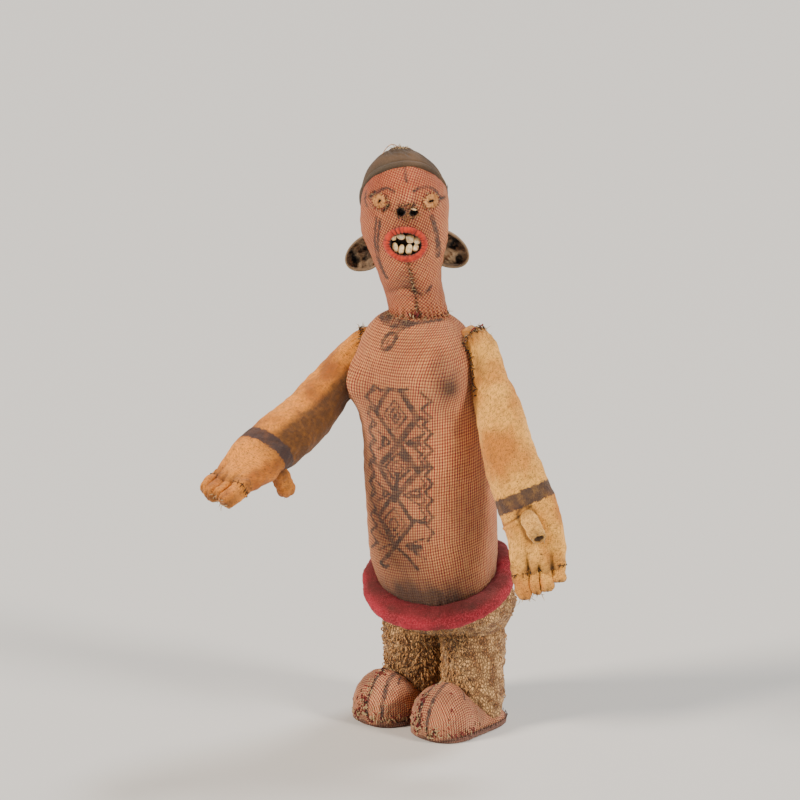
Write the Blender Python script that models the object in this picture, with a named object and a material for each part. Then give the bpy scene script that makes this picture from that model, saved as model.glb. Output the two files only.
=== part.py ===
"""A sewn and stuffed cloth reliquary figure of a standing woman, about 0.56 m tall.

Metres, +Z up. The figure faces -Y and its own left side is +X. It stands on its two flat soles.
Each cloth bag, roll, patch and tooth is its own closed solid, laid about 0.3 mm clear of its neighbour.
"""

import math

import bmesh
import bpy
import numpy as np
from mathutils import Matrix, Vector

SEWN_GAP = 0.0003  # between two pieces that are sewn together
FIGURE_PLACE = (-0.0045, 0.0794, 0.0)  # puts the middle of the whole figure over the origin

# ---------------------------------------------------------------- shared tools


def through(values, at):
    """Smooth curve through evenly spaced values: a cubic between each two, sloped by the neighbours."""
    slopes = np.gradient(values)
    i = np.clip(np.floor(at).astype(int), 0, len(values) - 2)
    t = at - i
    return (
        (2 * t**3 - 3 * t**2 + 1) * values[i]
        + (t**3 - 2 * t**2 + t) * slopes[i]
        + (3 * t**2 - 2 * t**3) * values[i + 1]
        + (t**3 - t**2) * slopes[i + 1]
    )


def columns(sections, rings):
    """The columns of a section table, read at evenly spaced places along the piece."""
    table = np.array(sections, float)
    at = np.linspace(0, len(table) - 1, rings)
    return [through(table[:, column], at)[:, None] for column in range(table.shape[1])]


def oval(sides, squareness):
    """A unit superellipse as (across, ahead), from the front round by the figure's left side."""
    angle = np.arange(sides) / sides * math.tau
    across, ahead = np.sin(angle), np.cos(angle)
    power = 2 / squareness
    return np.sign(across) * abs(across) ** power, np.sign(ahead) * abs(ahead) ** power


def turned(across, ahead, turn):
    """x and y of a step across and ahead for a piece that faces -Y turned towards +X."""
    return (
        across * math.cos(turn) + ahead * math.sin(turn),
        across * math.sin(turn) - ahead * math.cos(turn),
    )


def loft(rings, endless=False):
    """A closed mesh through rings of points, with flat ends, or joined end to end like a tyre."""
    shape = bmesh.new()
    loops = [[shape.verts.new(point) for point in ring] for ring in rings]
    following = loops[1:] + loops[:1] if endless else loops[1:]
    for near, far in zip(loops, following):
        for i in range(len(near)):
            j = (i + 1) % len(near)
            shape.faces.new((near[i], near[j], far[j], far[i]))
    if not endless:
        shape.faces.new(loops[0])
        shape.faces.new(loops[-1])
    bmesh.ops.triangulate(shape, faces=shape.faces)
    bmesh.ops.recalc_face_normals(shape, faces=shape.faces)
    mesh = bpy.data.meshes.new("loft")
    shape.to_mesh(mesh)
    shape.free()
    return mesh


def cloth(name, colour, roughness=0.9):
    material = bpy.data.materials.new(name)
    material.use_nodes = True
    surface = material.node_tree.nodes["Principled BSDF"]
    surface.inputs["Base Color"].default_value = (*colour, 1)
    surface.inputs["Roughness"].default_value = roughness
    return material


def piece(name, mesh, material):
    """A named solid of the figure, smooth where it is round."""
    mesh.shade_smooth()
    mesh.set_sharp_from_angle(angle=math.radians(40))
    mesh.materials.append(material)
    made = bpy.data.objects.new(name, mesh)
    figure_pieces.objects.link(made)
    made.parent = figure
    return made


def boolean(target, operation, cutter):
    step = target.modifiers.new(cutter.name, "BOOLEAN")
    step.operation = operation
    step.object = cutter


def cutter_for(source):
    """A hidden copy of a piece, grown by the sewn gap, that cuts what lies against it."""
    made = source.copy()
    made.name = "cut_" + source.name
    grow = made.modifiers.new("grow", "DISPLACE")
    grow.mid_level = 0
    grow.strength = SEWN_GAP
    return hide(made)


def hide(made):
    made.hide_render = True
    made.display_type = "WIRE"
    cutters.objects.link(made)
    made.parent = figure
    return made


def hidden_solid(name, mesh):
    return hide(bpy.data.objects.new(name, mesh))


for old in list(bpy.data.objects):
    bpy.data.objects.remove(old)
figure_pieces = bpy.data.collections.new("reliquary_figure")
cutters = bpy.data.collections.new("cutters")
for collection in (figure_pieces, cutters):
    bpy.context.scene.collection.children.link(collection)
figure = bpy.data.objects.new("figure", None)
figure.location = FIGURE_PLACE
figure_pieces.objects.link(figure)

check_cloth = cloth("red_and_cream_check", (0.47, 0.17, 0.10))
tan_cloth = cloth("tan_cotton", (0.55, 0.34, 0.15))
looped_cloth = cloth("looped_cotton", (0.36, 0.24, 0.12))
crimson_cloth = cloth("crimson_wool", (0.30, 0.015, 0.03))
cap_cloth = cloth("brown_black_cap_cloth", (0.12, 0.085, 0.055))
ear_cloth = cloth("dark_ear_cloth", (0.07, 0.045, 0.03))
lip_cloth = cloth("orange_red_lip_cloth", (0.55, 0.10, 0.05))
tooth_shell = cloth("tooth_shell", (0.75, 0.66, 0.50), 0.3)

# ---------------------------------------------------------------- torso
# A stuffed bag of check cloth with a domed top and two breasts. It ends in the sloping waist plane.

WAIST_Z = 0.148
WAIST_X = -0.0025
WAIST_Y = -0.0065
WAIST_SLOPE = 0.42  # the waist plane rises towards the back by this share
WAIST_SIDE_SLOPE = -0.12  # of that rise, the part that is added towards the figure's left

TORSO_SECTIONS = (  # height, centre x, centre y, half width, half depth, slope of the section
    (WAIST_Z, WAIST_X, WAIST_Y, 0.0550, 0.0462, WAIST_SLOPE),
    (0.160, -0.0030, -0.0085, 0.0580, 0.0475, 0.36),
    (0.175, -0.0035, -0.0115, 0.0620, 0.0500, 0.28),
    (0.205, -0.0045, -0.0160, 0.0635, 0.0515, 0.12),
    (0.245, -0.0055, -0.0200, 0.0635, 0.0515, 0.00),
    (0.295, -0.0065, -0.0230, 0.0630, 0.0510, 0.00),
    (0.335, -0.0080, -0.0270, 0.0625, 0.0510, 0.00),
    (0.365, -0.0090, -0.0300, 0.0600, 0.0475, 0.00),
    (0.388, -0.0095, -0.0330, 0.0520, 0.0405, 0.00),
    (0.402, -0.0100, -0.0340, 0.0390, 0.0320, 0.00),
    (0.410, -0.0100, -0.0340, 0.0220, 0.0190, 0.00),
)
TORSO_SQUARENESS = 2.2  # 2 is an ellipse, and more is boxier
TORSO_SIDES = 30
TORSO_RINGS = 16

CHEST = 6  # the section that the breasts stand on
BREAST_ANGLES = (math.radians(-54), math.radians(46))  # from the front towards the figure's left
BREAST_Z = 0.3340
BREAST_HEIGHT = 0.0150
BREAST_SPREAD = 0.0135


def sloped_rings(sections, rings):
    """Rings of the torso's outline whose planes slope as the table says."""
    z, x, y, wide, deep, slope = columns(sections, rings)
    across, ahead = oval(TORSO_SIDES, TORSO_SQUARENESS)
    rise = slope * (WAIST_SIDE_SLOPE * wide * across - deep * ahead)
    return np.stack([x + wide * across, y - deep * ahead, z + rise], axis=-1)


def torso_rings():
    point = sloped_rings(TORSO_SECTIONS, TORSO_RINGS)
    x, y, wide, deep = TORSO_SECTIONS[CHEST][1:5]
    for angle in BREAST_ANGLES:
        root = np.array([x + wide * math.sin(angle), y - deep * math.cos(angle), BREAST_Z])
        out = np.array([math.sin(angle), -math.cos(angle), -0.1])
        near = np.exp(-((point - root) ** 2).sum(-1) / (2 * BREAST_SPREAD**2))
        point = point + BREAST_HEIGHT * near[..., None] * out
    return point


torso = piece("torso", loft(torso_rings()), check_cloth)
torso_cutter = cutter_for(torso)

# ---------------------------------------------------------------- legs
# Hips and two short legs, one stuffed piece of looped cloth, whose top lies against the torso's base.

HIP_SECTIONS = (  # as the torso's, from the waist plane down to the crotch
    (WAIST_Z - SEWN_GAP, WAIST_X, WAIST_Y, 0.0550, 0.0462, WAIST_SLOPE),
    (0.138, -0.0035, -0.0015, 0.0600, 0.0485, 0.34),
    (0.124, -0.0060, 0.0050, 0.0650, 0.0500, 0.22),
    (0.108, -0.0090, 0.0120, 0.0640, 0.0460, 0.10),
    (0.095, -0.0105, 0.0170, 0.0600, 0.0360, 0.00),
    (0.087, -0.0106, 0.0190, 0.0480, 0.0220, 0.00),
)
LEG_SECTIONS = (  # height, half width and half depth
    (0.118, 0.0180, 0.0240),
    (0.095, 0.0295, 0.0325),
    (0.060, 0.0300, 0.0305),
    (0.030, 0.0300, 0.0300),
    (0.010, 0.0275, 0.0280),
)
ANKLES = {"left": (0.0235, 0.0165), "right": (-0.0447, 0.0215)}  # x and y of each leg's axis
LEG_SIDES = 18


def leg_rings(ankle):
    z, wide, deep = columns(LEG_SECTIONS, 7)
    across, ahead = oval(LEG_SIDES, 2.0)
    return np.stack([ankle[0] + wide * across, ankle[1] - deep * ahead, z + 0 * across], axis=-1)


legs = piece("legs", loft(sloped_rings(HIP_SECTIONS, 8)), looped_cloth)
for side_name, ankle in ANKLES.items():
    boolean(legs, "UNION", hidden_solid("shin_" + side_name, loft(leg_rings(ankle))))
legs_cutter = cutter_for(legs)

# ---------------------------------------------------------------- hip roll
# A thick roll of crimson cloth laid round the waist, lower at the front, pressed against torso and hips.

ROLL_RADIUS = 0.0112
ROLL_HALF_WIDTH = 0.0645
ROLL_HALF_DEPTH = 0.0555
ROLL_STEPS = 30
ROLL_SIDES = 8


def roll_rings():
    across, ahead = oval(ROLL_STEPS, 2.0)
    middle = np.stack([ROLL_HALF_WIDTH * across, -ROLL_HALF_DEPTH * ahead], axis=-1)
    angle = np.arange(ROLL_SIDES) / ROLL_SIDES * math.tau
    out = ROLL_RADIUS * np.cos(angle)
    up = ROLL_RADIUS * np.sin(angle)
    x = middle[:, :1] + out * across[:, None]
    y = middle[:, 1:] - out * ahead[:, None]
    z = WAIST_Z + WAIST_SLOPE * (y + WAIST_SIDE_SLOPE * x) + up
    return np.stack([WAIST_X + x, WAIST_Y + y, z], axis=-1)


hip_roll = piece("hip_roll", loft(roll_rings(), endless=True), crimson_cloth)
boolean(hip_roll, "DIFFERENCE", torso_cutter)
boolean(hip_roll, "DIFFERENCE", legs_cutter)

# ---------------------------------------------------------------- feet and soles
# A domed foot of check cloth round each ankle, sewn along its rim to a flat padded sole.

SOLE_THICKNESS = 0.0060
SOLE_RIM = 0.0012  # how far the sole stands out past the foot
SOLE_ROUNDING = 0.0018
HEEL_BACK = 0.0305  # from the leg's axis back to the heel
FOOT_SECTIONS = (  # distance from the heel, half width, height above the sole
    (0.000, 0.0080, 0.0060),
    (0.004, 0.0180, 0.0100),
    (0.014, 0.0270, 0.0125),
    (0.030, 0.0310, 0.0145),
    (0.046, 0.0310, 0.0240),
    (0.060, 0.0310, 0.0375),
    (0.073, 0.0310, 0.0425),
    (0.085, 0.0290, 0.0400),
    (0.095, 0.0240, 0.0320),
    (0.102, 0.0160, 0.0210),
    (0.105, 0.0070, 0.0090),
)
TOE_OVERHANG = 0.0040  # how far the dome stands out past the sole at the toe
FOOT_TURN = {"left": math.radians(-10), "right": math.radians(-12)}
FOOT_ARCH_SIDES = 13
FOOT_FULLNESS = 0.75  # under 1 makes the dome's sides steeper


def foot_place(side_name, along, across):
    """x and y of a place on a foot, from its heel."""
    x, y = turned(across, along - HEEL_BACK, FOOT_TURN[side_name])
    return ANKLES[side_name][0] + x, ANKLES[side_name][1] + y


def foot_rings(side_name):
    along, wide, high = columns(FOOT_SECTIONS, 13)
    angle = np.linspace(0, math.pi, FOOT_ARCH_SIDES)
    x, y = foot_place(side_name, along, wide * np.cos(angle))
    z = SOLE_THICKNESS + SEWN_GAP + high * np.sin(angle) ** FOOT_FULLNESS
    return np.stack([x, y, z], axis=-1)


def sole_rings(side_name):
    along, wide, _ = columns(FOOT_SECTIONS, 13)
    along, wide = along[:, 0], wide[:, 0]
    along = np.concatenate([along, along[::-1]])
    across = np.concatenate([wide, -wide[::-1]])
    middle = along.mean()
    along = along - TOE_OVERHANG * np.clip((along - middle) / middle, 0, 1) ** 2
    rings = []
    for z, out in ((0, SOLE_RIM - SOLE_ROUNDING), (SOLE_ROUNDING, SOLE_RIM), (SOLE_THICKNESS, SOLE_RIM)):
        size = np.hypot(along - middle, across)
        stretch = (size + out) / size
        x, y = foot_place(side_name, middle + (along - middle) * stretch, across * stretch)
        rings.append(np.stack([x, y, np.full_like(x, z)], axis=-1))
    return rings


for side_name in ANKLES:
    foot = piece("foot_" + side_name, loft(foot_rings(side_name)), check_cloth)
    boolean(foot, "DIFFERENCE", legs_cutter)
    piece("sole_" + side_name, loft(sole_rings(side_name)), check_cloth)

# ---------------------------------------------------------------- arms, thumbs and fingers
# Each arm and palm is one stuffed sleeve of tan cotton, sewn to the torso's side. The thumb is a
# stuffed stub sewn on the palm, and four finger stubs are sewn to the palm's end.

ARM_PATHS = {  # from inside the shoulder to the end of the palm
    "left": (
        (0.0340, -0.0290, 0.3880),
        (0.0590, -0.0320, 0.3770),
        (0.0700, -0.0365, 0.3450),
        (0.0860, -0.0390, 0.3050),
        (0.1000, -0.0410, 0.2680),
        (0.1170, -0.0420, 0.2270),
        (0.1255, -0.0460, 0.1880),
    ),
    "right": (
        (-0.0480, -0.0180, 0.3800),
        (-0.0740, -0.0230, 0.3620),
        (-0.0855, -0.0530, 0.3373),
        (-0.0930, -0.0877, 0.3158),
        (-0.0998, -0.1237, 0.2962),
        (-0.1070, -0.1594, 0.2805),
        (-0.1140, -0.1885, 0.2655),
    ),
}
ARM_SIZES = (  # half breadth and half thickness at the same places
    (0.0150, 0.0130),
    (0.0190, 0.0170),
    (0.0215, 0.0190),
    (0.0238, 0.0205),
    (0.0258, 0.0205),
    (0.0275, 0.0165),
    (0.0240, 0.0105),
)
PALM_BREADTHS = {  # direction across the arm down to the wrist, and at the palm's end
    "left": ((0.848, 0.530, 0.0), (0.848, 0.530, 0.0)),
    "right": ((0.824, 0.109, -0.552), (0.977, -0.209, -0.036)),
}
WRIST = 0.72  # share of the arm's length
ARM_SIDES = 14
ARM_RINGS = 13

THUMBS = {  # place across, out of and along the palm from the wrist, then the run in the same directions
    "left": ((-0.002, 0.008, 0.024), (0.004, 0.012, 0.029)),
    "right": ((0.0155, 0.004, 0.014), (0.0180, 0.023, 0.006)),
}
THUMB_RADIUS = 0.0090
FINGERS = (  # place across the palm's end, half width and length of each stub
    (-0.0185, 0.0072, 0.0290),
    (-0.0062, 0.0048, 0.0250),
    (0.0050, 0.0062, 0.0275),
    (0.0172, 0.0056, 0.0230),
)
FINGER_HALF_THICKNESS = 0.0075
FINGER_ROOT = 0.0060  # how far each stub starts inside the palm
STUB_SIDES = 8
STUB_PROFILE = (0.50, 0.90, 1.0, 1.0, 0.93, 0.76, 0.38)  # share of the full radius along a stub


def arm_frame(side_name, rings=ARM_RINGS):
    """The rings' centres, and the directions along, across and out of the palm at each."""
    centre = np.concatenate(columns(ARM_PATHS[side_name], rings), axis=1)
    along = np.gradient(centre, axis=0)
    along /= np.linalg.norm(along, axis=1)[:, None]
    blend = np.clip((np.linspace(0, 1, rings) - WRIST) / (1 - WRIST), 0, 1)[:, None]
    start, end = (np.array(breadth) for breadth in PALM_BREADTHS[side_name])
    across = start + blend * (end - start)
    across = across - (across * along).sum(1)[:, None] * along
    across /= np.linalg.norm(across, axis=1)[:, None]
    palm = np.cross(along, across) if side_name == "left" else np.cross(across, along)
    return centre, along, across, palm


def arm_rings(side_name):
    centre, _, across, palm = arm_frame(side_name)
    broad, thick = columns(ARM_SIZES, ARM_RINGS)
    angle = np.arange(ARM_SIDES) / ARM_SIDES * math.tau
    return (
        centre[:, None]
        + (broad * np.cos(angle))[..., None] * across[:, None]
        + (thick * np.sin(angle))[..., None] * palm[:, None]
    )


def stub_rings(root, tip, across, half_width, half_thickness):
    """A round-ended stuffed stub from root to tip."""
    root, tip, across = (np.array(a, float) for a in (root, tip, across))
    along = (tip - root) / np.linalg.norm(tip - root)
    across = across - (across @ along) * along
    across /= np.linalg.norm(across)
    through_it = np.cross(along, across)
    angle = np.arange(STUB_SIDES) / STUB_SIDES * math.tau
    place = (1 - np.cos(np.linspace(0, math.pi, len(STUB_PROFILE)))) / 2
    share = np.array(STUB_PROFILE)[:, None]
    return (
        (root + place[:, None] * (tip - root))[:, None]
        + (half_width * share * np.cos(angle))[..., None] * across
        + (half_thickness * share * np.sin(angle))[..., None] * through_it
    )


for side_name in ARM_PATHS:
    arm = piece("arm_" + side_name, loft(arm_rings(side_name)), tan_cloth)
    boolean(arm, "DIFFERENCE", torso_cutter)
    arm_cutter = cutter_for(arm)
    centre, along, across, palm = arm_frame(side_name)
    wrist = round(WRIST * (ARM_RINGS - 1))
    directions = np.array([across[wrist], palm[wrist], along[wrist]])
    place, run = (np.array(step) @ directions for step in THUMBS[side_name])
    root = centre[wrist] + place
    tip = root + run
    stub = stub_rings(root, tip, across[wrist], THUMB_RADIUS, THUMB_RADIUS)
    thumb = piece("thumb_" + side_name, loft(stub), tan_cloth)
    boolean(thumb, "DIFFERENCE", arm_cutter)
    for number, (place, half_width, length) in enumerate(FINGERS):
        place = place if side_name == "left" else -place
        root = centre[-1] + place * across[-1] - FINGER_ROOT * along[-1]
        tip = root + (FINGER_ROOT + length) * along[-1]
        stub = stub_rings(root, tip, across[-1], half_width, FINGER_HALF_THICKNESS)
        finger = piece(f"finger_{side_name}_{number + 1}", loft(stub), tan_cloth)
        boolean(finger, "DIFFERENCE", arm_cutter)

# ---------------------------------------------------------------- head and neck
# One stuffed bag of check cloth, turned towards the figure's left, with a hollow mouth and two nostrils.

HEAD_TURN = math.radians(30)
HEAD_SECTIONS = (  # height, centre x, centre y, half width, half depth
    (0.388, -0.0090, -0.0340, 0.0290, 0.0280),
    (0.405, -0.0085, -0.0340, 0.0268, 0.0262),
    (0.425, -0.0110, -0.0370, 0.0272, 0.0275),
    (0.443, -0.0140, -0.0400, 0.0290, 0.0315),
    (0.460, -0.0165, -0.0415, 0.0335, 0.0370),
    (0.480, -0.0175, -0.0425, 0.0392, 0.0405),
    (0.502, -0.0180, -0.0430, 0.0403, 0.0415),
    (0.521, -0.0185, -0.0430, 0.0380, 0.0400),
    (0.537, -0.0200, -0.0435, 0.0312, 0.0345),
    (0.549, -0.0210, -0.0435, 0.0210, 0.0240),
    (0.556, -0.0215, -0.0435, 0.0095, 0.0110),
)
HEAD_SQUARENESS = 2.1
HEAD_SIDES = 26
HEAD_RINGS = 15

NOSE_Z = 0.512
NOSE_HEIGHT = 0.0050
NOSE_SPREAD = 0.0050

MOUTH_Z = 0.4775
MOUTH_HALF_WIDTH = 0.0142
MOUTH_HALF_HEIGHT = 0.0104
MOUTH_DEPTH = 0.0120
NOSTRIL_APART = 0.0125
NOSTRIL_Z = 0.5065
NOSTRIL_RADIUS = 0.0030
NOSTRIL_DEPTH = 0.0060


def head_rings(grow=0.0):
    z, x, y, wide, deep = columns(HEAD_SECTIONS, HEAD_RINGS)
    across, ahead = oval(HEAD_SIDES, HEAD_SQUARENESS)
    dx, dy = turned((wide + grow) * across, (deep + grow) * ahead, HEAD_TURN)
    point = np.stack([x + dx, y + dy, z + 0 * across], axis=-1)
    near = np.exp(-((point - face_point(0, NOSE_Z)) ** 2).sum(-1) / (2 * NOSE_SPREAD**2))
    return point + NOSE_HEIGHT * near[..., None] * facing


def head_section(z):
    """Centre, half width and half depth of the head at a height."""
    table = np.array(HEAD_SECTIONS)
    place = np.interp(z, table[:, 0], np.arange(len(table)))
    return [through(table[:, column], place) for column in range(1, 5)]


def face_point(across, z, out=0.0):
    """A point of the face at a distance across from its middle and a height, stood out by out."""
    x, y, wide, deep = head_section(np.asarray(z, float))
    share = np.clip(1 - abs(across / wide) ** HEAD_SQUARENESS, 0, 1) ** (1 / HEAD_SQUARENESS)
    dx, dy = turned(across, deep * share + out, HEAD_TURN)
    return np.stack([x + dx, y + dy, z + 0 * dx], axis=-1)


def plug(name, place, direction, radii, depth):
    """A hidden oval cylinder that runs into the face from a place, along a direction."""
    shape = bmesh.new()
    bmesh.ops.create_cone(shape, cap_ends=True, segments=16, radius1=1, radius2=1, depth=1)
    lead = 0.02  # how far it stands out in front
    across = Vector((math.cos(HEAD_TURN), math.sin(HEAD_TURN), 0))
    inward = Vector(direction).normalized()
    axes = Matrix((across, inward.cross(across), inward)).transposed().to_4x4()
    size = Matrix.Diagonal((radii[0], radii[1], depth + lead, 1))
    middle = Vector(place) + inward * (depth - lead) / 2
    shape.transform(Matrix.Translation(middle) @ axes @ size)
    mesh = bpy.data.meshes.new(name)
    shape.to_mesh(mesh)
    shape.free()
    return hidden_solid(name, mesh)


facing = np.array([*turned(0, 1, HEAD_TURN), 0])
head = piece("head", loft(head_rings()), check_cloth)
boolean(head, "DIFFERENCE", torso_cutter)
boolean(
    head,
    "DIFFERENCE",
    plug("mouth_hollow", face_point(0, MOUTH_Z), -facing, (MOUTH_HALF_WIDTH, MOUTH_HALF_HEIGHT), MOUTH_DEPTH),
)
for side in (-1, 1):
    nostril = face_point(side * NOSTRIL_APART / 2, NOSTRIL_Z, NOSE_HEIGHT / 2)
    inward = -facing + np.array([0, 0, 0.5])
    name = "nostril_left" if side > 0 else "nostril_right"
    boolean(head, "DIFFERENCE", plug(name, nostril, inward, (NOSTRIL_RADIUS,) * 2, NOSTRIL_DEPTH))

# ---------------------------------------------------------------- cap
# The hair: a tight cap of brown-black cloth over crown and nape, cut along a plane that rises to the front.

CAP_OUT = 0.0020
CAP_SIDE_Z = 0.524  # the cap's edge at the ears' line
CAP_RISE = 1.165  # how much the edge rises for each step ahead
CAP_TILT = 0.17  # and for each step to the left
CAP_BLOCK = 0.13

head_cutter = cutter_for(head)
cap_mesh = loft(head_rings())
cap = piece("cap", cap_mesh, cap_cloth)
grow_cap = cap.modifiers.new("grow", "DISPLACE")
grow_cap.mid_level = 0
grow_cap.strength = CAP_OUT
ahead = np.array([-1, -1, 1, 1]) * CAP_BLOCK / 2
across = np.array([-1, 1, 1, -1]) * CAP_BLOCK / 2
head_x, head_y = head_section(CAP_SIDE_Z)[:2]
dx, dy = turned(across, ahead, HEAD_TURN)
x, y = head_x + dx, head_y + dy
edge = CAP_SIDE_Z + CAP_RISE * ahead + CAP_TILT * across
block = [np.stack([x, y, z], axis=-1) for z in (edge, np.full(4, CAP_SIDE_Z + CAP_BLOCK))]
boolean(cap, "INTERSECT", hidden_solid("above_hairline", loft(block)))
boolean(cap, "DIFFERENCE", head_cutter)
cap_cutter = cutter_for(cap)

# ---------------------------------------------------------------- ears
# Two cups of dark cloth, rounded at the outer side, each sewn by its straight side to the head.

EAR_Z = {"left": 0.4690, "right": 0.4655}
EAR_REACH = 0.0235  # out from the head
EAR_HALF_HEIGHT = 0.0155
EAR_DEPTH = 0.0125
EAR_WALL = 0.0022
EAR_BACK = 0.0060  # how far behind the head's side line the cup's floor lies
EAR_DROOP = 0.35  # how much the outer side hangs down for each step out
EAR_STEPS = 18


def ear_outline(side_name, inset, ahead):
    """The D-shaped outline of an ear cup, drawn in by inset and moved ahead of the cup's floor."""
    angle = np.arange(EAR_STEPS) / EAR_STEPS * math.tau
    side = 1 if side_name == "left" else -1
    head_x, head_y, wide, _ = head_section(EAR_Z[side_name])
    out = (EAR_REACH - inset) * np.where(np.cos(angle) > 0, np.cos(angle), 0.55 * np.cos(angle))
    up = (EAR_HALF_HEIGHT - inset) * np.sin(angle)
    dx, dy = turned(side * (wide - 0.002 + out), ahead - EAR_BACK - 0.25 * out, HEAD_TURN)
    return np.stack([head_x + dx, head_y + dy, EAR_Z[side_name] + up - EAR_DROOP * out], axis=-1)


for side_name in ("right", "left"):
    cup = [
        ear_outline(side_name, inset, ahead)
        for inset, ahead in (
            (0.0045, 0),
            (0.0010, 0.0015),
            (0, EAR_DEPTH),
            (EAR_WALL, EAR_DEPTH),
            (EAR_WALL + 0.0012, EAR_WALL + 0.0015),
            (EAR_WALL + 0.0035, EAR_WALL),
        )
    ]
    ear = piece("ear_" + side_name, loft(cup), ear_cloth)
    boolean(ear, "DIFFERENCE", head_cutter)
    boolean(ear, "DIFFERENCE", cap_cutter)

# ---------------------------------------------------------------- eyes
# A round patch of tan cotton with a hole for the pupil, sewn on at each side of the nose.

EYE_Z = 0.5185
EYE_APART = 0.0460
EYE_RADIUS = 0.0074
EYE_HOLE = 0.0018
EYE_THICKNESS = 0.0013
EYE_STEPS = 12

for side, side_name in ((-1, "right"), (1, "left")):
    angle = np.arange(EYE_STEPS) / EYE_STEPS * math.tau
    rings = []
    for radius, out in (
        (EYE_RADIUS, -0.0015),
        (EYE_RADIUS, EYE_THICKNESS),
        (EYE_HOLE, EYE_THICKNESS),
        (EYE_HOLE, -0.0015),
    ):
        across = side * EYE_APART / 2 + radius * np.cos(angle)
        rings.append(face_point(across, EYE_Z + radius * np.sin(angle), out))
    eye = piece("eye_" + side_name, loft(rings, endless=True), tan_cloth)
    boolean(eye, "DIFFERENCE", head_cutter)

# ---------------------------------------------------------------- lips
# A padded ring of orange-red cloth sewn round the mouth.

LIP_RADIUS = 0.0031
LIP_HALF_WIDTH = 0.0170
LIP_HALF_HEIGHT = 0.0134
LIP_STEPS = 20
LIP_SIDES = 6

angle = np.arange(LIP_STEPS) / LIP_STEPS * math.tau
roll = np.arange(LIP_SIDES) / LIP_SIDES * math.tau
across = np.sin(angle)[:, None] * (LIP_HALF_WIDTH + LIP_RADIUS * np.cos(roll))
z = MOUTH_Z + np.cos(angle)[:, None] * (LIP_HALF_HEIGHT + LIP_RADIUS * np.cos(roll))
lips = piece("lips", loft(face_point(across, z, 0.0015 + LIP_RADIUS * np.sin(roll)), endless=True), lip_cloth)
boolean(lips, "DIFFERENCE", head_cutter)
lips_cutter = cutter_for(lips)

# ---------------------------------------------------------------- teeth
# Four upper and four lower teeth of ivory-coloured shell, set in the mouth behind the lips.

TOOTH_ROWS = {  # which way the row stands from the mouth's edge, then each tooth's place, width and length
    "upper": (
        1,
        (
            (-0.0082, 0.0048, 0.0062),
            (-0.0028, 0.0052, 0.0074),
            (0.0028, 0.0050, 0.0072),
            (0.0082, 0.0046, 0.0060),
        ),
    ),
    "lower": (
        -1,
        (
            (-0.0080, 0.0046, 0.0058),
            (-0.0027, 0.0050, 0.0064),
            (0.0028, 0.0048, 0.0066),
            (0.0080, 0.0044, 0.0056),
        ),
    ),
}
TOOTH_DEPTH = 0.0030
TOOTH_BEHIND = 0.0030  # from the face's surface back to the tooth's front
TOOTH_SIDES = 7

for row, (up, teeth) in TOOTH_ROWS.items():
    for number, (middle, width, length) in enumerate(teeth):
        edge = MOUTH_HALF_HEIGHT * math.sqrt(1 - (middle / MOUTH_HALF_WIDTH) ** 2) - SEWN_GAP
        turn_by = np.arange(TOOTH_SIDES) / TOOTH_SIDES * math.tau + math.pi / TOOTH_SIDES
        rings = []
        for down, share in ((-0.003, 0.95), (0.4, 1.0), (0.85, 0.92), (1.0, 0.55)):
            z = MOUTH_Z + up * (edge - down * length)
            side_by = middle + width / 2 * 1.06 * share * np.cos(turn_by)
            out = -TOOTH_BEHIND - TOOTH_DEPTH / 2 + TOOTH_DEPTH / 2 * share * np.sin(turn_by)
            dx, dy = turned(side_by, out, HEAD_TURN)
            aside = np.append(turned(middle * 0.6, 0, HEAD_TURN), 0)
            on_face = face_point(middle * 0.6, np.full(TOOTH_SIDES, z)) - aside
            rings.append(on_face + np.stack([dx, dy, 0 * dx], axis=-1))
        tooth = piece(f"tooth_{row}_{number + 1}", loft(rings), tooth_shell)
        boolean(tooth, "DIFFERENCE", head_cutter)
        boolean(tooth, "DIFFERENCE", lips_cutter)
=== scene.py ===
"""A sewn and stuffed cloth reliquary figure: the looks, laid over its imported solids."""

import math

import bpy
import numpy as np
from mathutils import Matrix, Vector


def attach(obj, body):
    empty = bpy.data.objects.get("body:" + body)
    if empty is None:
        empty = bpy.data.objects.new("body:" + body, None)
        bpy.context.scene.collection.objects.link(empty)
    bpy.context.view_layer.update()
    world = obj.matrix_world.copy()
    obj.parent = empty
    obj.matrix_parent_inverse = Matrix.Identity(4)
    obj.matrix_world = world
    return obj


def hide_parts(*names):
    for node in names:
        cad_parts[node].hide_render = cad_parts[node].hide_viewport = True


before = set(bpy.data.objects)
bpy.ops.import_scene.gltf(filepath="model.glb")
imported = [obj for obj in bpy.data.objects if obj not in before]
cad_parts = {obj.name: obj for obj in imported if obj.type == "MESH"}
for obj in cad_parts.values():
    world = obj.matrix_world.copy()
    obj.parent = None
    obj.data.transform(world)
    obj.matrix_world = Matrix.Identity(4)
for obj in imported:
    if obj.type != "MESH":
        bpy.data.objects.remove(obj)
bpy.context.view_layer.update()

# ---------------------------------------------------------------- camera, floor and light
# A wide plain pale floor, a large soft lamp at each side of the camera and one high behind. The
# camera looks slightly down at the figure's left front.

FIGURE_PLACE = np.array([-0.0045, 0.0794, 0.0])  # the middle between the ankles, as in the solids
VIEW_TURN, VIEW_TILT, VIEW_DISTANCE = math.radians(32), math.radians(12), 2.0
AIM_ASIDE, AIM_Z = -0.0425, 0.32  # from the ankles' middle, across the view, and height
AIM = FIGURE_PLACE + (AIM_ASIDE * math.cos(VIEW_TURN), AIM_ASIDE * math.sin(VIEW_TURN), AIM_Z)
LAMP_WIDTH, LAMP_DISTANCE = math.radians(16), 3.0
FLOOR_REACH = 60


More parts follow.
